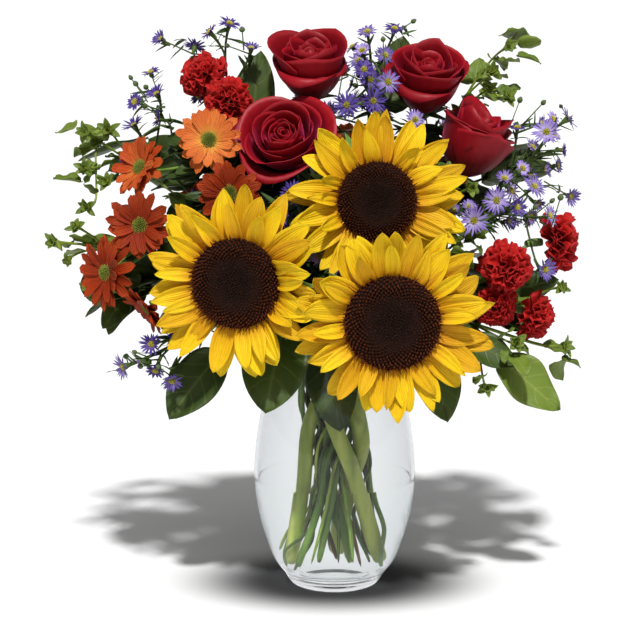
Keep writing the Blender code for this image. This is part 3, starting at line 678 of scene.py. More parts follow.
sunflower = {
    "rows": (  # petals, share of the length, lift, start height in mm, width in mm
        (17, 1.0, 1.0, -1.2, 18.0),
        (16, 0.94, 9.0, 0.4, 16.5),
        (12, 0.76, 21.0, 1.6, 11.5),
    ),
    "lean": {"left": (0.1, 34.0), "top": (2.6, 12.0), "right": (2.3, 12.0)},  # towards this turn, by degrees
    "bend": (-28, 12),
    "curl": (-34, 46),
    "twist": (-24, 24),
    "florets": 700,
    "bracts": ((15, 1.0, -14), (14, 0.86, -30), (12, 0.7, -46)),  # bracts, share of the length and lift
    "bractSize": (30, 11.5),
    "thickness": 0.32,
    "seed": 11,
}


def sunflowerPetals(name, place, discRadius, reach, rng):
    bm = newSheet()
    towards, lean = sunflower["lean"][name]
    for row, (count, share, lift, height, width) in enumerate(sunflower["rows"]):
        for k in range(count):
            turn = ringTurn(rng, k + 0.5 * row, count, 0.28)
            facing = max(0.0, math.cos(turn - towards))
            rise = math.radians(lift + rng.uniform(-6, 9) + lean * facing ** 2)
            start = discRadius * 0.9
            length = (reach - start) * share * rng.uniform(0.86, 1.08)
            form = blade(
                length, width * mm * rng.uniform(0.8, 1.12), (0.15, 0.64, rng.uniform(0.60, 0.88)),
                lift=rise, bend=tilt(rng, *sunflower["bend"]), curl=tilt(rng, *sunflower["curl"]),
                cup=rng.uniform(0.05, 0.4), ridge=rng.uniform(0.3, 0.65) * mm,
                ridges=rng.choice((2.0, 2.5, 3.0)),
                ripple=rng.uniform(0, 1.0) * mm, ripples=rng.uniform(1.5, 3.2), phase=rng.uniform(0, 6),
                twist=tilt(rng, *sunflower["twist"]), side=rng.uniform(-5, 5) * mm,
                out=start, up=height * mm,
            )
            addSheet(bm, turnedBy(place, turn - math.pi / 2), form, 12, 14, rng.uniform(0, 1) ** 2 * 0.85)
    return bm


def sunflowerDisc(place, radius, rng):
    # a shallow dish with a spiral of florets, tall and pointed at the edge and tight at the middle
    bm = newSheet()
    tone = bm.verts.layers.float["tone"]
    count = sunflower["florets"]
    for k in range(count):
        share = math.sqrt((k + 0.5) / count)
        edge = max(0.0, (share - 0.55) / 0.45)
        size = radius / math.sqrt(count) * (0.9 + 0.2 * edge)
        tall = (1.1 + 2.9 * edge) * mm * rng.uniform(0.7, 1.3)
        height = 5.2 + 3.2 * math.sin(min(1.0, share / 0.86) * math.pi / 2) ** 3 - 4 * edge ** 3
        lean = math.radians(-10 + 50 * edge ** 2 + rng.uniform(-16, 16))
        spot = (
            turnedBy(place, k * goldenAngle)
            @ Matrix.Translation((radius * share * 0.985, 0, height * mm))
            @ Matrix.Rotation(lean, 4, "Y") @ Matrix.Rotation(rng.uniform(-0.25, 0.25), 4, "X")
        )
        for vert in addCone(bm, spot, 5, size, size * (0.5 - 0.4 * edge), tall * 2):
            vert[tone] = share * 0.8 + rng.uniform(0, 0.2)
    wide = radius / mm
    dish = [(0, 0), (wide * 0.97, 0), (wide * 0.98, 3.2), (wide * 0.86, 7.6), (wide * 0.55, 7.8),
            (wide * 0.25, 5.6), (0, 5.0)]
    core = meshFrom("dish", turned(dish, 48))
    core.transform(place)
    bm.from_mesh(core)
    bpy.data.meshes.remove(core)
    return bm


def sunflowerBracts(place, radius, rng):
    bm = newSheet()
    long, wide = sunflower["bractSize"]
    for row, (count, share, lift) in enumerate(sunflower["bracts"]):
        for k in range(count):
            turn = ringTurn(rng, k + 0.5 * row, count, 0.2)
            form = blade(
                long * mm * share * rng.uniform(0.85, 1.15), wide * mm, (0.3, 0.35, 0.95),
                lift=math.radians(lift), bend=tilt(rng, 10, 40), cup=0.25, ridge=0.2 * mm,
                twist=tilt(rng, -16, 16), out=radius * 0.72, up=(-4.5 - 1.5 * row) * mm,
            )
            addSheet(bm, turnedBy(place, turn), form, 4, 8, rng.uniform(0, 1))
    return bm


def makeSunflowers():
    ray = petalFinish(
        "sunflower petals", (0.60, 0.22, 0.004), (0.80, 0.50, 0.006), (0.84, 0.58, 0.010),
        (0.46, 0.17, 0.004), Roughness=0.55, Specular_IOR_Level=0.15, Subsurface_Weight=0.12,
        Subsurface_Scale=0.003,
        Subsurface_Radius=(1.0, 0.5, 0.06),
    )
    seeds = toneFinish(
        "sunflower florets",
        ((0.0, (0.010, 0.004, 0.003)), (0.4, (0.010, 0.004, 0.002)), (0.62, (0.036, 0.009, 0.003)),
         (0.88, (0.092, 0.021, 0.006)), (1.0, (0.13, 0.038, 0.010))),
        fleck=(0.28, 0.11, 0.03), Roughness=0.9, Specular_IOR_Level=0.08,
    )
    green = leafFinish(
        "sunflower bracts", (0.09, 0.2, 0.025), (0.17, 0.3, 0.05), (0.3, 0.42, 0.12), 3.0, Roughness=0.65,
    )
    rng = np.random.default_rng(sunflower["seed"])
    for name in ("left", "top", "right"):
        whole = "sunflower_" + name
        base, axis, discRadius, _ = bloomFrame(whole + "_disc", whole + "_stem")
        reach = bloomFrame(whole + "_petals", whole + "_stem")[2]
        place = placeAt(base, axis)
        petals = sunflowerPetals(name, place, discRadius, reach, rng)
        disc = sunflowerDisc(place, discRadius, rng)
        bracts = sunflowerBracts(place, discRadius, rng)
        thickness = sunflower["thickness"]
        makePiece(whole + "_ray_petals", petals, ray, [whole + "_petals"], thickness)
        makePiece(whole + "_florets", disc, seeds, [whole + "_disc"], outward=True)
        makePiece(whole + "_bracts", bracts, green, thickness=0.5)
    print("sunflowers")


# Roses: petals wrapped in layers round a tight middle, with lips that roll outwards, over five sepals.

rose = {
    # petals, half wrap, and as shares of the bloom: radius, height, closing, flare, roll
    "layers": (
        (2, 170, 0.07, 0.80, 0.30, 0.00, 0.00),
        (3, 130, 0.14, 0.82, 0.26, 0.00, 0.00),
        (3, 118, 0.22, 0.84, 0.22, 0.00, 0.00),
        (4, 96, 0.31, 0.88, 0.16, 0.01, 0.00),
        (4, 88, 0.44, 0.94, 0.11, 0.04, 0.02),
        (3, 96, 0.60, 1.00, 0.06, 0.08, 0.06),
        (3, 92, 0.76, 0.99, 0.00, 0.14, 0.11),
        (3, 80, 0.84, 0.88, 0.00, 0.17, 0.19),
    ),
    "thickness": 0.45,
    "tuck": 1.3,
    "sepals": 5,
    "hip": (6.4, 9),  # radius and length of the swelling under the bloom
    "seed": 5,
}


def roseBloom(place, radius, depth, rng):
    bm = newSheet()
    for layer, (count, wrap, out, rise, closing, flare, roll) in enumerate(rose["layers"]):
        first = rng.uniform(0, fullTurn)
        for k in range(count):
            form = cupPetal(
                first + ringTurn(rng, k, count, 0.12), math.radians(wrap * rng.uniform(0.92, 1.06)),
                radius * out * rng.uniform(0.97, 1.03), depth * rise * rng.uniform(0.93, 1.04), closing,
                radius * flare * rng.uniform(0.35, 1.4), depth * roll * rng.uniform(0.3, 1.4),
                rose["tuck"] * mm * (0.5 + out), (0.35 + 1.5 * out) * mm, rng.uniform(0, 6),
                point=0.09 * rng.uniform(0.2, 1.5) * min(1, layer / 4),
            )
            addSheet(bm, place, form, 16, 12, rng.uniform(0, 0.35))
    return bm


def roseSepals(place, radius, rng):
    bm = newSheet()
    for k in range(rose["sepals"]):
        form = blade(
            radius * rng.uniform(0.7, 0.95), radius * 0.26, (0.3, 0.3, 1.2), lift=tilt(rng, -10, 25),
            bend=tilt(rng, -75, 20), cup=0.4, ridge=0.2 * mm, out=0.08 * radius, up=-0.6 * mm,
            twist=tilt(rng, -25, 25),
        )
        addSheet(bm, turnedBy(place, ringTurn(rng, k, rose["sepals"], 0.15)), form, 4, 8, rng.uniform(0, 1))
    addBud(bm, movedUp(place, -5), *rose["hip"])
    return bm


def makeRoses():
    red = petalFinish(
        "rose petals", (0.045, 0.0006, 0.001), (0.165, 0.0012, 0.0045), (0.31, 0.004, 0.011),
        (0.055, 0.001, 0.001), depth=0.08, streak=0.10, Roughness=0.5, Specular_IOR_Level=0.25,
        Sheen_Weight=0.36,
        Sheen_Roughness=0.3, Sheen_Tint=(1.0, 0.07, 0.26, 1),
    )
    green = leafFinish(
        "rose sepals", (0.05, 0.11, 0.02), (0.11, 0.2, 0.04), (0.2, 0.3, 0.1), 2.0, Roughness=0.6,
    )
    rng = np.random.default_rng(rose["seed"])
    for bloom in [node for node in plants["rose"] if node.endswith("_bloom")]:
        name = bloom[: -len("_bloom")]
        base, axis, radius, depth = bloomFrame(bloom, name + "_stem")
        place = placeAt(base, axis)
        makePiece(
            name + "_petals", roseBloom(place, radius, depth, rng), red, [bloom],
            rose["thickness"],
        )
        makePiece(name + "_sepals", roseSepals(place, radius, rng), green, thickness=0.5)
    print("roses")


# Carnations: a dome of fringed and ruffled petals.

carnation = {
    "rows": (  # petals, lift, share of the radius as length, start height
        (8, -8, 0.90, 0.34), (11, 7, 1.00, 0.34), (11, 22, 0.98, 0.36), (10, 38, 0.92, 0.38),
        (8, 54, 0.86, 0.38), (6, 70, 0.80, 0.38), (3, 86, 0.76, 0.36),
    ),
    "thickness": 0.3,
    "seed": 23,
}


def makeCarnations():
    red = petalFinish(
        "carnation petals", (0.11, 0.001, 0.001), (0.33, 0.004, 0.003), (0.46, 0.009, 0.007),
        (0.13, 0.001, 0.001), lines=7.0, depth=0.1, streak=0.12, Roughness=0.62, Specular_IOR_Level=0.2,
        Sheen_Weight=0.08,
        Sheen_Tint=(1.0, 0.3, 0.3, 1),
    )
    rng = np.random.default_rng(carnation["seed"])
    for bloom in [node for node in plants["carnation"] if "_bloom_" in node]:
        base, axis, radius, _ = bloomFrame(bloom, bloom.split("_bloom_")[0] + "_stems")
        place = placeAt(base, axis)
        bm = newSheet()
        for row, (count, lift, share, height) in enumerate(carnation["rows"]):
            for k in range(count):
                turn = ringTurn(rng, k + 0.5 * row, count, 0.3)
                form = fan(
                    radius * share * rng.uniform(0.84, 1.08), radius * rng.uniform(0.62, 0.95),
                    math.radians(lift + rng.uniform(-12, 12)), tilt(rng, -30, 24),
                    radius * rng.uniform(0.09, 0.19), rng.uniform(1.3, 2.3), 0.12, rng.uniform(0, 6),
                    out=0.05 * radius, up=radius * height,
                )
                addSheet(bm, turnedBy(place, turn), form, 16, 6, rng.uniform(0, 0.5))
        makePiece(bloom + "_petals", bm, red, [bloom], carnation["thickness"])
    print("carnations")


# Daisies: two rows of blunt grooved petals round a green button.

daisy = {
    "petals": {"orange": 15, "rust": 14},
    "rows": ((1.0, 2), (0.86, 15)),  # share of the length, and lift
    "start": 3.2,
    "width": 6.9,
    "alsoOrange": ("daisy_back_bloom_a",),  # at the back, under the rust slot
    "worn": {"daisy_orange_bloom_b": 0.75},  # blooms that take more of their shade
    "spread": 1.1,
    "button": 6.4,
    "florets": 110,
    "thickness": 0.35,
    "seed": 31,
    # base, middle, tip and shade of the petals
    "colours": {
        "orange": ((0.74, 0.44, 0.05), (0.70, 0.22, 0.045), (0.62, 0.15, 0.03), (0.38, 0.045, 0.008)),
        "rust": ((0.24, 0.030, 0.005), (0.31, 0.028, 0.004), (0.42, 0.055, 0.008), (0.085, 0.007, 0.003)),
    },
}


def makeDaisies():
    finishes = {
        kind: petalFinish(
            kind + " daisy petals", *colours, lines=5.0, streak=0.45, Roughness=0.6,
            Specular_IOR_Level=0.12, Subsurface_Weight=0.06, Subsurface_Scale=0.002,
        )
        for kind, colours in daisy["colours"].items()
    }
    button = toneFinish(
        "daisy buttons", ((0.0, (0.13, 0.17, 0.02)), (0.5, (0.18, 0.21, 0.03)), (1.0, (0.32, 0.27, 0.05))),
        Roughness=0.8, Specular_IOR_Level=0.15,
    )
    rng = np.random.default_rng(daisy["seed"])
    for bloom in [node for node in plants["daisy"] if "_bloom_" in node]:
        kind = "orange" if "orange" in bloom or bloom in daisy["alsoOrange"] else "rust"
        base, axis, radius, _ = bloomFrame(bloom, bloom.split("_bloom_")[0] + "_stems")
        place = placeAt(base + axis * 1.5 * mm, axis)
        bm = newSheet()
        count, opening = daisy["petals"][kind], rng.uniform(0, 12)
        worn = daisy["worn"].get(bloom, 0.0)
        start = daisy["start"] * mm
        length = radius * daisy["spread"] - start
        for row, (share, lift) in enumerate(daisy["rows"]):
            for k in range(count):
                turn = ringTurn(rng, k + 0.5 * row, count, 0.22)
                form = blade(
                    length * share * rng.uniform(0.9, 1.07), daisy["width"] * mm * rng.uniform(0.85, 1.15),
                    (0.16, 0.62, rng.uniform(0.26, 0.40)),
                    lift=math.radians(lift + opening + rng.uniform(-7, 9)),
                    bend=tilt(rng, -34, 10), cup=rng.uniform(-0.1, 0.35), ridge=0.35 * mm,
                    twist=tilt(rng, -14, 14), side=rng.uniform(-1.6, 1.6) * mm,
                    out=start, up=(0.4 + 0.8 * row) * mm,
                )
                addSheet(bm, turnedBy(place, turn), form, 6, 8, worn + rng.uniform(0, 0.6))
        makePiece(bloom + "_petals", bm, finishes[kind], [bloom], daisy["thickness"])
        middle = newSheet()
        addDome(middle, movedUp(place, 1.4), daisy["button"], 2.6, daisy["florets"], 1.0, rng, lean=40)
        makePiece(bloom + "_button", middle, button)
    print("daisies")


# Where leaves and buds may go: clear of the blooms, and never in front of one.

room = {  # in mm
    "margin": 2,
    "vase": (64, 200),  # nothing grows within this radius below this height
    "before": 60,  # how far in front of a bloom its face is kept clear
    "backRow": 45,  # blooms behind this are seen from the back
}


def findBlooms():
    blooms = []
    for kind in ("sunflower", "rose", "carnation", "daisy"):
        for node in plants[kind]:
            if node.endswith("_petals") or "_bloom" in node:
                own = (other for other in stemsOf(kind) if node.startswith(other[: other.rindex("stem")]))
                stem = next(own)
                base, axis, radius, depth = bloomFrame(node, stem)
                blooms.append((base + axis * depth / 2, axis, radius, max(depth / 2, 7 * mm)))
    for kind in ("aster", "bupleurum"):
        for node in plants[kind]:
            blooms += [(*floret, 4 * mm) for floret in findFlorets(node)]
    return blooms


blooms = findBlooms()


def isClear(points):
    low, high = np.array(cadBox)
    margin = room["margin"] * mm
    if (points < low - margin).any() or (points > high + margin).any():
        return False
    out = np.hypot(points[:, 0], points[:, 1])
    if ((out < room["vase"][0] * mm) & (points[:, 2] < room["vase"][1] * mm)).any():
        return False
    for middle, axis, radius, half in blooms:
        away = points - middle
        along, level = splitAlong(points, middle, axis)
        level = np.linalg.norm(level, axis=1)
        if ((level < radius) & (np.abs(along) < half + margin)).any():
            return False
        if ((level < radius * 0.8) & (along > 0) & (along < room["before"] * mm)).any():
            return False
        side = 1 if middle[1] > room["backRow"] * mm else -1
        if ((np.hypot(away[:, 0], away[:, 2]) < radius * 0.95) & (away[:, 1] * side > 0)).any():
            return False
    return True


tallPlant = 240


def stemPoints(node, low, high):
    points = np.unique(pointsOf(node).round(6), axis=0)
    return points[(points[:, 2] > low * mm) & (points[:, 2] < high * mm)]


def lowest(node, *heights):
    # where its growth begins: a tall plant and a low one have their own heights
    return heights[pointsOf(node)[:, 2].max() < tallPlant * mm]


def grow(points, count, tries, rng, start):
    # tries growths from random points of the stem until enough of them have found room
    grown = 0
    for _ in range(tries):
        if grown == count or not len(points):
            break
        grown += start(points[rng.integers(len(points))])


def growLeaves(bm, node, count, span, size, rng, shape, wide, stalk=0.0):
    # leaves that leave the stem outwards, wherever there is room between the blooms
    def leaf(start):
        outward = np.array((start[0], start[1] - 0.01, 0.0))
        outward = outward / max(np.linalg.norm(outward), 1e-6) + rng.normal(0, 0.75, 3)
        outward[2] = math.tan(tilt(rng, -30, 45))
        outward = unit(outward)
        length = rng.uniform(*size) * mm
        facing = np.array((outward[0] * 0.4, outward[1] * 0.4, 0.9)) + rng.normal(0, 0.45, 3)
        if abs(facing @ outward) > 0.85 * np.linalg.norm(facing):
            return False
        place = leafAt(start + outward * stalk * mm, outward, facing)
        width = length * rng.uniform(*wide)
        form = blade(
            length, width, shape["outline"], bend=-tilt(rng, -10, 50), cup=rng.uniform(0.1, 0.4),
            ridge=shape["ridge"] * mm, ripple=rng.uniform(0.2, 1) * shape["ripple"] * mm, ripples=3.5,
            phase=rng.uniform(0, 6), twist=tilt(rng, -18, 18), **shape["edge"],
        )
        u, v = np.meshgrid((-0.8, 0, 0.8), (0.3, 0.6, 0.95))
        if not isClear(moved(form(u.ravel(), v.ravel()), place)):
            return False
        if stalk:
            addRod(bm, start, place @ Vector((0, 0.06 * length, 0)), 0.8, 0.6, tone=1.0)
        addSheet(bm, place, form, shape["columns"], shape["rows"], rng.uniform(0, 1))
        return True

    grow(stemPoints(node, *span), count, 260, rng, leaf)


# Asters: sprays of small violet daisies with yellow eyes, buds and narrow leaves.

aster = {
    "rays": 24,
    "rayWidth": 1.7,
    "eye": 2.5,
    "eyeFlorets": 20,
    "leaves": 46,
    "buds": 9,
    "extras": {
        "aster_right": 12, "aster_right_low": 12, "aster_top": 18, "aster_back": 10, "aster_low_left": 7,
        "aster_top_left": 3, "aster_left": 5,
    },
    "extra": 7,  # smaller florets on twigs of their own, where the plant isn't named above
    "pale": {
        "aster_right": 0.5, "aster_right_low": 0.45, "aster_top": 0.2, "aster_centre": 0.4, "aster_back": 0.2,
        "aster_left": -0.3, "aster_top_left": -0.3, "aster_low_left": -0.15,
    },
    "leaf": {"outline": (0.3, 0.3, 0.7), "ridge": 0.1, "ripple": 0.3, "columns": 2, "rows": 5, "edge": {}},
    "violet": ((0.0, (0.08, 0.045, 0.27)), (0.4, (0.038, 0.016, 0.17)), (1.0, (0.062, 0.030, 0.24))),
    "paleViolet": ((0.0, (0.66, 0.60, 0.76)), (0.55, (0.40, 0.30, 0.66)), (1.0, (0.24, 0.15, 0.54))),
    "lowest": (222, 165),  # of a tall plant and of a low one, in mm
    "highest": 430,
    "smallLeafVerts": 2600,  # no more small leaves round the florets after this many points
    "seed": 41,
}


def growFlorets(bm, node, points, rng):
    # more florets, each on a twig from the plant's own stem
    made = []

    def floret(start):
        front = -1 if start[1] < room["backRow"] * mm else 1
        away = unit(np.array((start[0] * 1.2, front * 0.09, 0.10)) + rng.normal(0, 0.08, 3))
        end = start + away * rng.uniform(12, 30) * mm
        facing = unit(away + np.array((0, front * 0.7, 0.2)))
        radius = rng.uniform(6, 9.5) * mm
        level = np.array(placeAt(end, facing))[:3, :2]
        rim = [end + level @ spot * radius for spot in ((1, 0), (-1, 0), (0, 1), (0, -1))]
        if not isClear(np.array([end, *rim])):
            return False
        addRod(bm, start, end - facing * 2.5 * mm, 0.6, 0.5, 4, 0.2)
        addBud(bm, placeAt(end - facing * 4.5 * mm, facing), 1.9, 4.6, -0.5)
        made.append((end, facing, radius))
        blooms.append((end, facing, radius, 4 * mm))
        return True

    grow(points, aster["extras"].get(node, aster["extra"]), 400, rng, floret)
    return made


def growBuds(bm, points, rng):
    def bud(start):
        away = unit(np.array((start[0], start[1] - 0.02, 0.12)) + rng.normal(0, 0.06, 3))
        end = start + away * rng.uniform(10, 22) * mm
        if not isClear(np.array((end, end + away * 5 * mm))):
            return False
        addRod(bm, start, end, 0.55, 0.45, 4, 0.2)
        addBud(bm, placeAt(end, away), rng.uniform(1.7, 2.4), rng.uniform(4.2, 6.0), -rng.uniform(0, 0.3))
        return True

    grow(points, aster["buds"], 200, rng, bud)


def smallLeaf(bm, middle, facing, rng):
    # a narrow leaf on the stalk behind a floret
    start = middle - facing * rng.uniform(5, 12) * mm
    away = np.array(placeAt(start, facing, rng.uniform(0, 6.3)) @ Vector((1, 0, 0.6))) - start
    form = blade(rng.uniform(7, 12) * mm, 2.2 * mm, aster["leaf"]["outline"], bend=rng.uniform(-0.8, 0.2))
    addSheet(bm, leafAt(start, away, facing), form, 2, 5, rng.uniform(0, 1))


def asterFloret(rays, eyes, middle, facing, radius, pale, rng):
    place = placeAt(middle, facing)
    fade = max(0.0, rng.uniform(-0.5, 0.5) + pale)
    shut = rng.uniform(0, 1) ** 2 * 38
    for k in range(aster["rays"]):
        turn = ringTurn(rng, k, aster["rays"], 0.3)
        form = blade(
            (radius - 1.6 * mm) * rng.uniform(0.86, 1.1), aster["rayWidth"] * mm * rng.uniform(0.8, 1.15),
            (0.5, 0.25, 0.4), lift=math.radians(4 + shut + rng.uniform(-5, 14) + (k % 2) * 7),
            bend=tilt(rng, -34, 12), cup=0.3, side=rng.uniform(-0.9, 0.9) * mm, out=1.6 * mm, up=-0.4 * mm,
        )
        addSheet(rays, turnedBy(place, turn), form, 2, 4, min(1.0, fade + rng.uniform(0, 0.15)))
    addDome(eyes, movedUp(place, 0.2), aster["eye"], 1.1, aster["eyeFlorets"], 0.7, rng)


def makeAsters():
    ray = Finish("aster rays", Roughness=0.6, Specular_IOR_Level=0.2)
    across, along = ray.sheet()
    ray.colour(ray.mix(ray.tone(), ray.ramp(along, *aster["violet"]), ray.ramp(along, *aster["paleViolet"])))
    ray.bump(ray.maths("ABSOLUTE", across), 0.1 * mm, 0.5)
    eye = toneFinish(
        "aster eyes", ((0.0, (0.40, 0.40, 0.06)), (0.6, (0.52, 0.46, 0.06)), (1.0, (0.45, 0.34, 0.06))),
        Roughness=0.8, Specular_IOR_Level=0.15,
    )
    bud = toneFinish(
        "aster buds", ((0.0, (0.05, 0.09, 0.02)), (0.55, (0.09, 0.13, 0.04)), (0.75, (0.12, 0.07, 0.2)),
                       (1.0, (0.16, 0.08, 0.4))),
        Roughness=0.7, Specular_IOR_Level=0.2,
    )
    green = leafFinish(
        "aster leaves", (0.022, 0.055, 0.01), (0.06, 0.11, 0.02), (0.11, 0.17, 0.05), 2.0,
        Roughness=0.6, Specular_IOR_Level=0.3,
    )
    rng = np.random.default_rng(aster["seed"])
    for node in plants["aster"]:
        rays, eyes, buds, leaves = newSheet(), newSheet(), newSheet(), newSheet()
        span = lowest(node, *aster["lowest"]), aster["highest"]
        points = stemPoints(node, *span)
        for floret in findFlorets(node) + growFlorets(buds, node, points, rng):
            asterFloret(rays, eyes, *floret, aster["pale"].get(node, 0.0), rng)
            if len(leaves.verts) < aster["smallLeafVerts"]:
                for _ in range(3):
                    smallLeaf(leaves, *floret[:2], rng)
        growBuds(buds, points, rng)
        growLeaves(leaves, node, aster["leaves"], span, (10, 21), rng, aster["leaf"], (0.17, 0.27))
        makePiece(node + "_rays", rays, ray.material, thickness=0.2)
        makePiece(node + "_eyes", eyes, eye)
        makePiece(node + "_buds", buds, bud)
        makePiece(node + "_leaves", leaves, green, thickness=0.25)
    print("asters")


# Bupleurum: leafy yellow-green stars round tiny flowers, with round leaves that the stems pass through.

bupleurum = {
    "bracts": 6,
    "round": {
        "outline": (0.10, 0.42, 0.62), "ridge": 0.2, "ripple": 1.6, "columns": 6, "rows": 8, "edge": {},
    },
    "lowest": (222, 170),
    "highest": 420,
    "leaves": 24,
    "seed": 53,
}


def makeBupleurum():
    green = leafFinish(
        "bupleurum leaves", (0.055, 0.10, 0.010), (0.15, 0.21, 0.025), (0.28, 0.34, 0.08), 5.0,
        Roughness=0.5, Specular_IOR_Level=0.3,
    )
    small = toneFinish(
        "bupleurum florets", ((0.0, (0.30, 0.32, 0.03)), (1.0, (0.2, 0.26, 0.03))), Roughness=0.7,
        Specular_IOR_Level=0.2,
    )
    rng = np.random.default_rng(bupleurum["seed"])
    for node in plants["bupleurum"]:
        leaves, florets = newSheet(), newSheet()
        for middle, facing, radius in findFlorets(node):
            place = placeAt(middle, facing)
            for row in range(2):
                count = bupleurum["bracts"] - row
                for k in range(count):
                    turn = ringTurn(rng, k + 0.5 * row, count, 0.25)
                    form = blade(
                        radius * (0.95 - 0.28 * row) * rng.uniform(0.7, 1.15),
                        radius * rng.uniform(0.42, 0.6),
                        (0.06, 0.5, 0.8), lift=math.radians(rng.uniform(10, 62) + 14 * row),
                        bend=tilt(rng, -60, 40), cup=rng.uniform(0.15, 0.7), out=0.5 * mm,
                        up=(-0.8 + 0.8 * row) * mm, twist=tilt(rng, -20, 20),
                    )
                    addSheet(leaves, turnedBy(place, turn), form, 4, 6, rng.uniform(0, 1))
            for k in range(5):
                spot = turnedBy(place, k * goldenAngle) @ Matrix.Translation((1.9 * mm, 0, 1.6 * mm))
                addDome(florets, spot, 1.1, 0.5, 6, 0.6, rng)
        span = lowest(node, *bupleurum["lowest"]), bupleurum["highest"]
        growLeaves(leaves, node, bupleurum["leaves"], span, (11, 23), rng, bupleurum["round"], (0.5, 0.85))
        makePiece(node + "_leaves", leaves, green, thickness=0.3)
        makePiece(node + "_florets", florets, small)
    print("bupleurum")


# Salal and the flowers' own leaves: dark blades that fill the bouquet between the blooms.

foliage = {
    "salal": {
        "outline": (0.025, 0.56, 0.80), "ridge": 0.3, "ripple": 1.5, "columns": 10, "rows": 16,
        "edge": {"teeth": 0.03, "toothCount": 15},
    },
    "rose": {
        "outline": (0.02, 0.5, 0.75), "ridge": 0.3, "ripple": 1.2, "columns": 8, "rows": 12,
        "edge": {"teeth": 0.09, "toothCount": 13},
    },
    "sunflower": {
        "outline": (0.02, 0.5, 0.95), "ridge": 0.4, "ripple": 1.8, "columns": 8, "rows": 12,
        "edge": {"teeth": 0.05, "toothCount": 7},
    },
    "strap": {"outline": (0.5, 0.2, 0.9), "ridge": 0.2, "ripple": 0.4, "columns": 3, "rows": 8, "edge": {}},
    "extras": (  # plant, finish, shape, leaves, heights, lengths, widths as a share of the length, and stalk
        ("rose", "rose", "rose", 34, (212, 350), (26, 42), (0.5, 0.65), 2.0),
        ("sunflower", "sunflower", "sunflower", 7, (205, 290), (38, 56), (0.5, 0.65), 2.0),
        ("carnation", "carnation", "strap", 8, (215, 360), (20, 36), (0.12, 0.16), 0.0),
        ("daisy", "rose", "rose", 44, (205, 330), (28, 46), (0.5, 0.65), 2.0),
    ),
    "finishes": {  # name, dark, light and vein, pairs of veins, roughness and shine
        "salal": (
            "salal leaves", (0.018, 0.036, 0.005), (0.055, 0.088, 0.011), (0.16, 0.20, 0.05), 5.0, 0.45, 0.3,
        ),
        "young": (
            "young leaf", (0.06, 0.11, 0.012), (0.16, 0.22, 0.028), (0.30, 0.34, 0.09), 5.0, 0.5, 0.3,
        ),
        "rose": (
            "rose leaves", (0.014, 0.030, 0.005), (0.042, 0.072, 0.011), (0.10, 0.14, 0.035), 6.0, 0.48, 0.35,
        ),
        "sunflower": (
            "sunflower leaves", (0.022, 0.048, 0.006), (0.06, 0.10, 0.014), (0.14, 0.19, 0.05),
            5.0, 0.6, 0.25,
        ),
        "carnation": (
            "carnation leaves", (0.04, 0.09, 0.03), (0.08, 0.15, 0.055), (0.14, 0.22, 0.1), 1.0, 0.5, 0.3,
        ),
    },
    "youngRipple": 2.4,
    "thickness": {"salal": 0.45, "extras": 0.4},
    "seed": 67,
}


def makeFoliage():
    finishes = {
        kind: leafFinish(*look, Roughness=roughness, Specular_IOR_Level=shine)
        for kind, (*look, roughness, shine) in foliage["finishes"].items()
    }
    rng = np.random.default_rng(foliage["seed"])
    shape = foliage["salal"]
    for node in plants["salal"]:
        old, young = newSheet(), newSheet()
        for base, tip, width, facing in findLeaves(node):
            pale = node == "salal_right" and tip[0] > 0.11 and tip[2] < 0.21  # the one at the right, low down
            ripple = shape["ripple"] * (foliage["youngRipple"] if pale else 1) * mm
            form = blade(
                float(np.linalg.norm(tip - base)), width, shape["outline"], lift=math.radians(6),
                bend=math.radians(-12), cup=rng.uniform(0.1, 0.28), ridge=shape["ridge"] * mm,
                ripple=ripple, phase=rng.uniform(0, 6), **shape["edge"],
            )
            place = leafAt(base, tip - base, facing)
            addSheet(young if pale else old, place, form, shape["columns"], shape["rows"], rng.uniform(0, 1))
        growLeaves(old, node, 34, (205, 350), (32, 52), rng, shape, (0.5, 0.62), stalk=4.0)
        thickness = foliage["thickness"]["salal"]
        makePiece(node + "_leaves", old, finishes["salal"], thickness=thickness)
        if young.verts:
            makePiece(node + "_young_leaf", young, finishes["young"], thickness=thickness)
    for kind, finish, leaf, count, span, size, wide, stalk in foliage["extras"]:
        for node in stemsOf(kind):
            bm = newSheet()
            growLeaves(bm, node, count, span, size, rng, foliage[leaf], wide, stalk)
            name = node[: node.rindex("_stem")] + "_leaves"
            makePiece(name, bm, finishes[finish], thickness=foliage["thickness"]["extras"])
    print("foliage")


# Floor, light and camera.

stage = {
    "floorColour": (0.88, 0.88, 0.88),
    "floorSize": 60,
    "paintedGlowThroughGlass": 1.06,  # painted glow: where the floor is seen through the vase it shines with this strength, though it is no lamp
    "foot": 0.042,  # where the painted shadow round the vase's foot begins to fade; only the camera sees it
    "paintedShadowEnd": 0.138,  # and where it ends
    # the painted shadow's darkest colour, by the foot
    "paintedShadowColour": (0.03, 0.03, 0.03),
    "sunStrength": 3.7,
    "sunSize": 4.0,
    "sunElevation": 54.5,
    "skyLow": 0.95,  # brightness of the sky behind the bouquet, close to the horizon
    "skySides": 0.17,
    "skyTop": 0.10,
    "skyThroughGlass": 0.8,  # the least that is seen through the vase
    "window": 0.62,  # brightness of the wide soft window round the sun
    "lens": 124.2,
    "sensor": 36,
    "target": (-0.017, 0, 0.207),
    "cameraElevation": 10,
    "cameraDistance": 1.6,
}


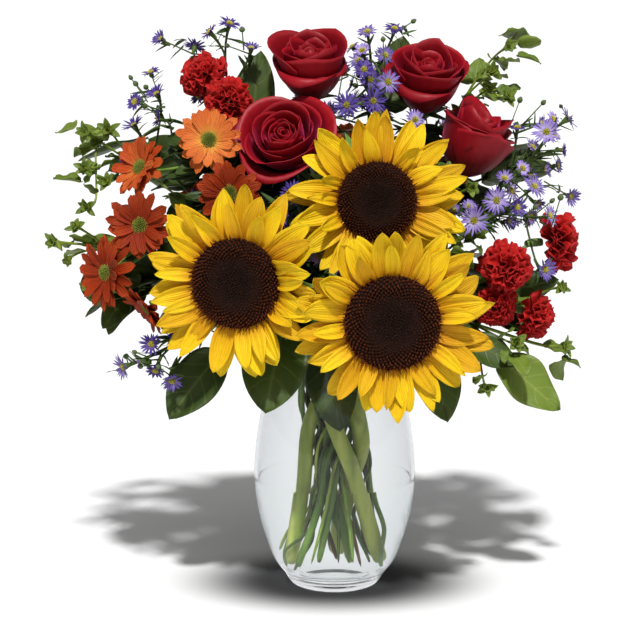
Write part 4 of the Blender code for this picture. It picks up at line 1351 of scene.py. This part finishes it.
def makeSky(sunward):
    world = bpy.data.worlds.new("studio")
    world.use_nodes = True
    sky = Nodes(world.node_tree)
    seen = sky.node("TexCoord").outputs["Generated"]
    split = sky.node("SeparateXYZ", Vector=seen).outputs
    behind = sky.fade(split["Y"], 0.45, 0.9, stage["skySides"], stage["skyLow"])
    blend = sky.node("Mix")
    sky.fill(blend, {0: sky.fade(split["Z"], 0.2, 0.65), 2: behind, 3: stage["skyTop"]})
    towards = sky.fill(sky.node("VectorMath", {"operation": "DOT_PRODUCT"}), {0: seen, 1: sunward})
    window = sky.fade(towards.outputs["Value"], 0.70, 0.94, 0.0, stage["window"])
    glimpse = sky.times(sky.ray("Transmission"), stage["skyThroughGlass"])
    strength = sky.maths("MAXIMUM", sky.plus(blend.outputs[0], window), glimpse)
    sky.fill(world.node_tree.nodes["Background"], {"Color": (1, 1, 1), "Strength": strength})
    bpy.context.scene.world = world


def makeFloor():
    bm = bmesh.new()
    bmesh.ops.create_grid(bm, x_segments=1, y_segments=1, size=stage["floorSize"])
    floor = addObject("floor", meshFrom("floor", bm))
    colour = stage["floorColour"]
    paper = Finish("pale floor", Base_Color=colour, Roughness=0.8, Specular_IOR_Level=0.1)
    # a painted shadow round the vase's foot: to the camera the floor darkens towards the foot
    spot = paper.node("Mapping", Vector=paper.node("TexCoord").outputs["Object"], Scale=(0.93, 1.3, 1.0))
    out = paper.node("VectorMath", {"operation": "LENGTH"}, Vector=spot.outputs["Vector"])
    lit = paper.fade(out.outputs["Value"], stage["foot"], stage["paintedShadowEnd"], curve="SMOOTHERSTEP")
    dark = paper.ramp(lit, (0.0, stage["paintedShadowColour"]), (1.0, colour))
    paper.colour(paper.mix(paper.ray("Camera"), colour, dark))
    # a painted glow: seen through the vase the floor shines white, so no shadow shows behind the glass
    glow = paper.node("Emission", Color=colour, Strength=stage["paintedGlowThroughGlass"])
    paper.blend(paper.ray("Transmission"), glow)
    floor.data.materials.append(paper.material)


def aimed(elevation):
    # from the bouquet towards the viewer's side, at this elevation in degrees
    high = math.radians(elevation)
    return Vector((0, -math.cos(high), math.sin(high)))


def makeStage():
    makeFloor()
    sunward = aimed(stage["sunElevation"])
    makeSky(sunward)

    light = bpy.data.lights.new("sun", "SUN")
    light.energy = stage["sunStrength"]
    light.angle = math.radians(stage["sunSize"])
    addObject("sun", light).rotation_euler = sunward.to_track_quat("Z", "Y").to_euler()

    camera = bpy.data.cameras.new("camera")
    camera.lens = stage["lens"]
    camera.sensor_width = stage["sensor"]
    seen = addObject("camera", camera)
    back = aimed(stage["cameraElevation"])
    seen.location = Vector(stage["target"]) + back * stage["cameraDistance"]
    seen.rotation_euler = back.to_track_quat("Z", "Y").to_euler()
    bpy.context.scene.camera = seen
    bpy.context.scene.view_settings.view_transform = "Standard"
    print("stage")


makeVase()
makeStems()
makeSunflowers()
makeRoses()
makeCarnations()
makeDaisies()
makeAsters()
makeBupleurum()
makeFoliage()
makeStage()
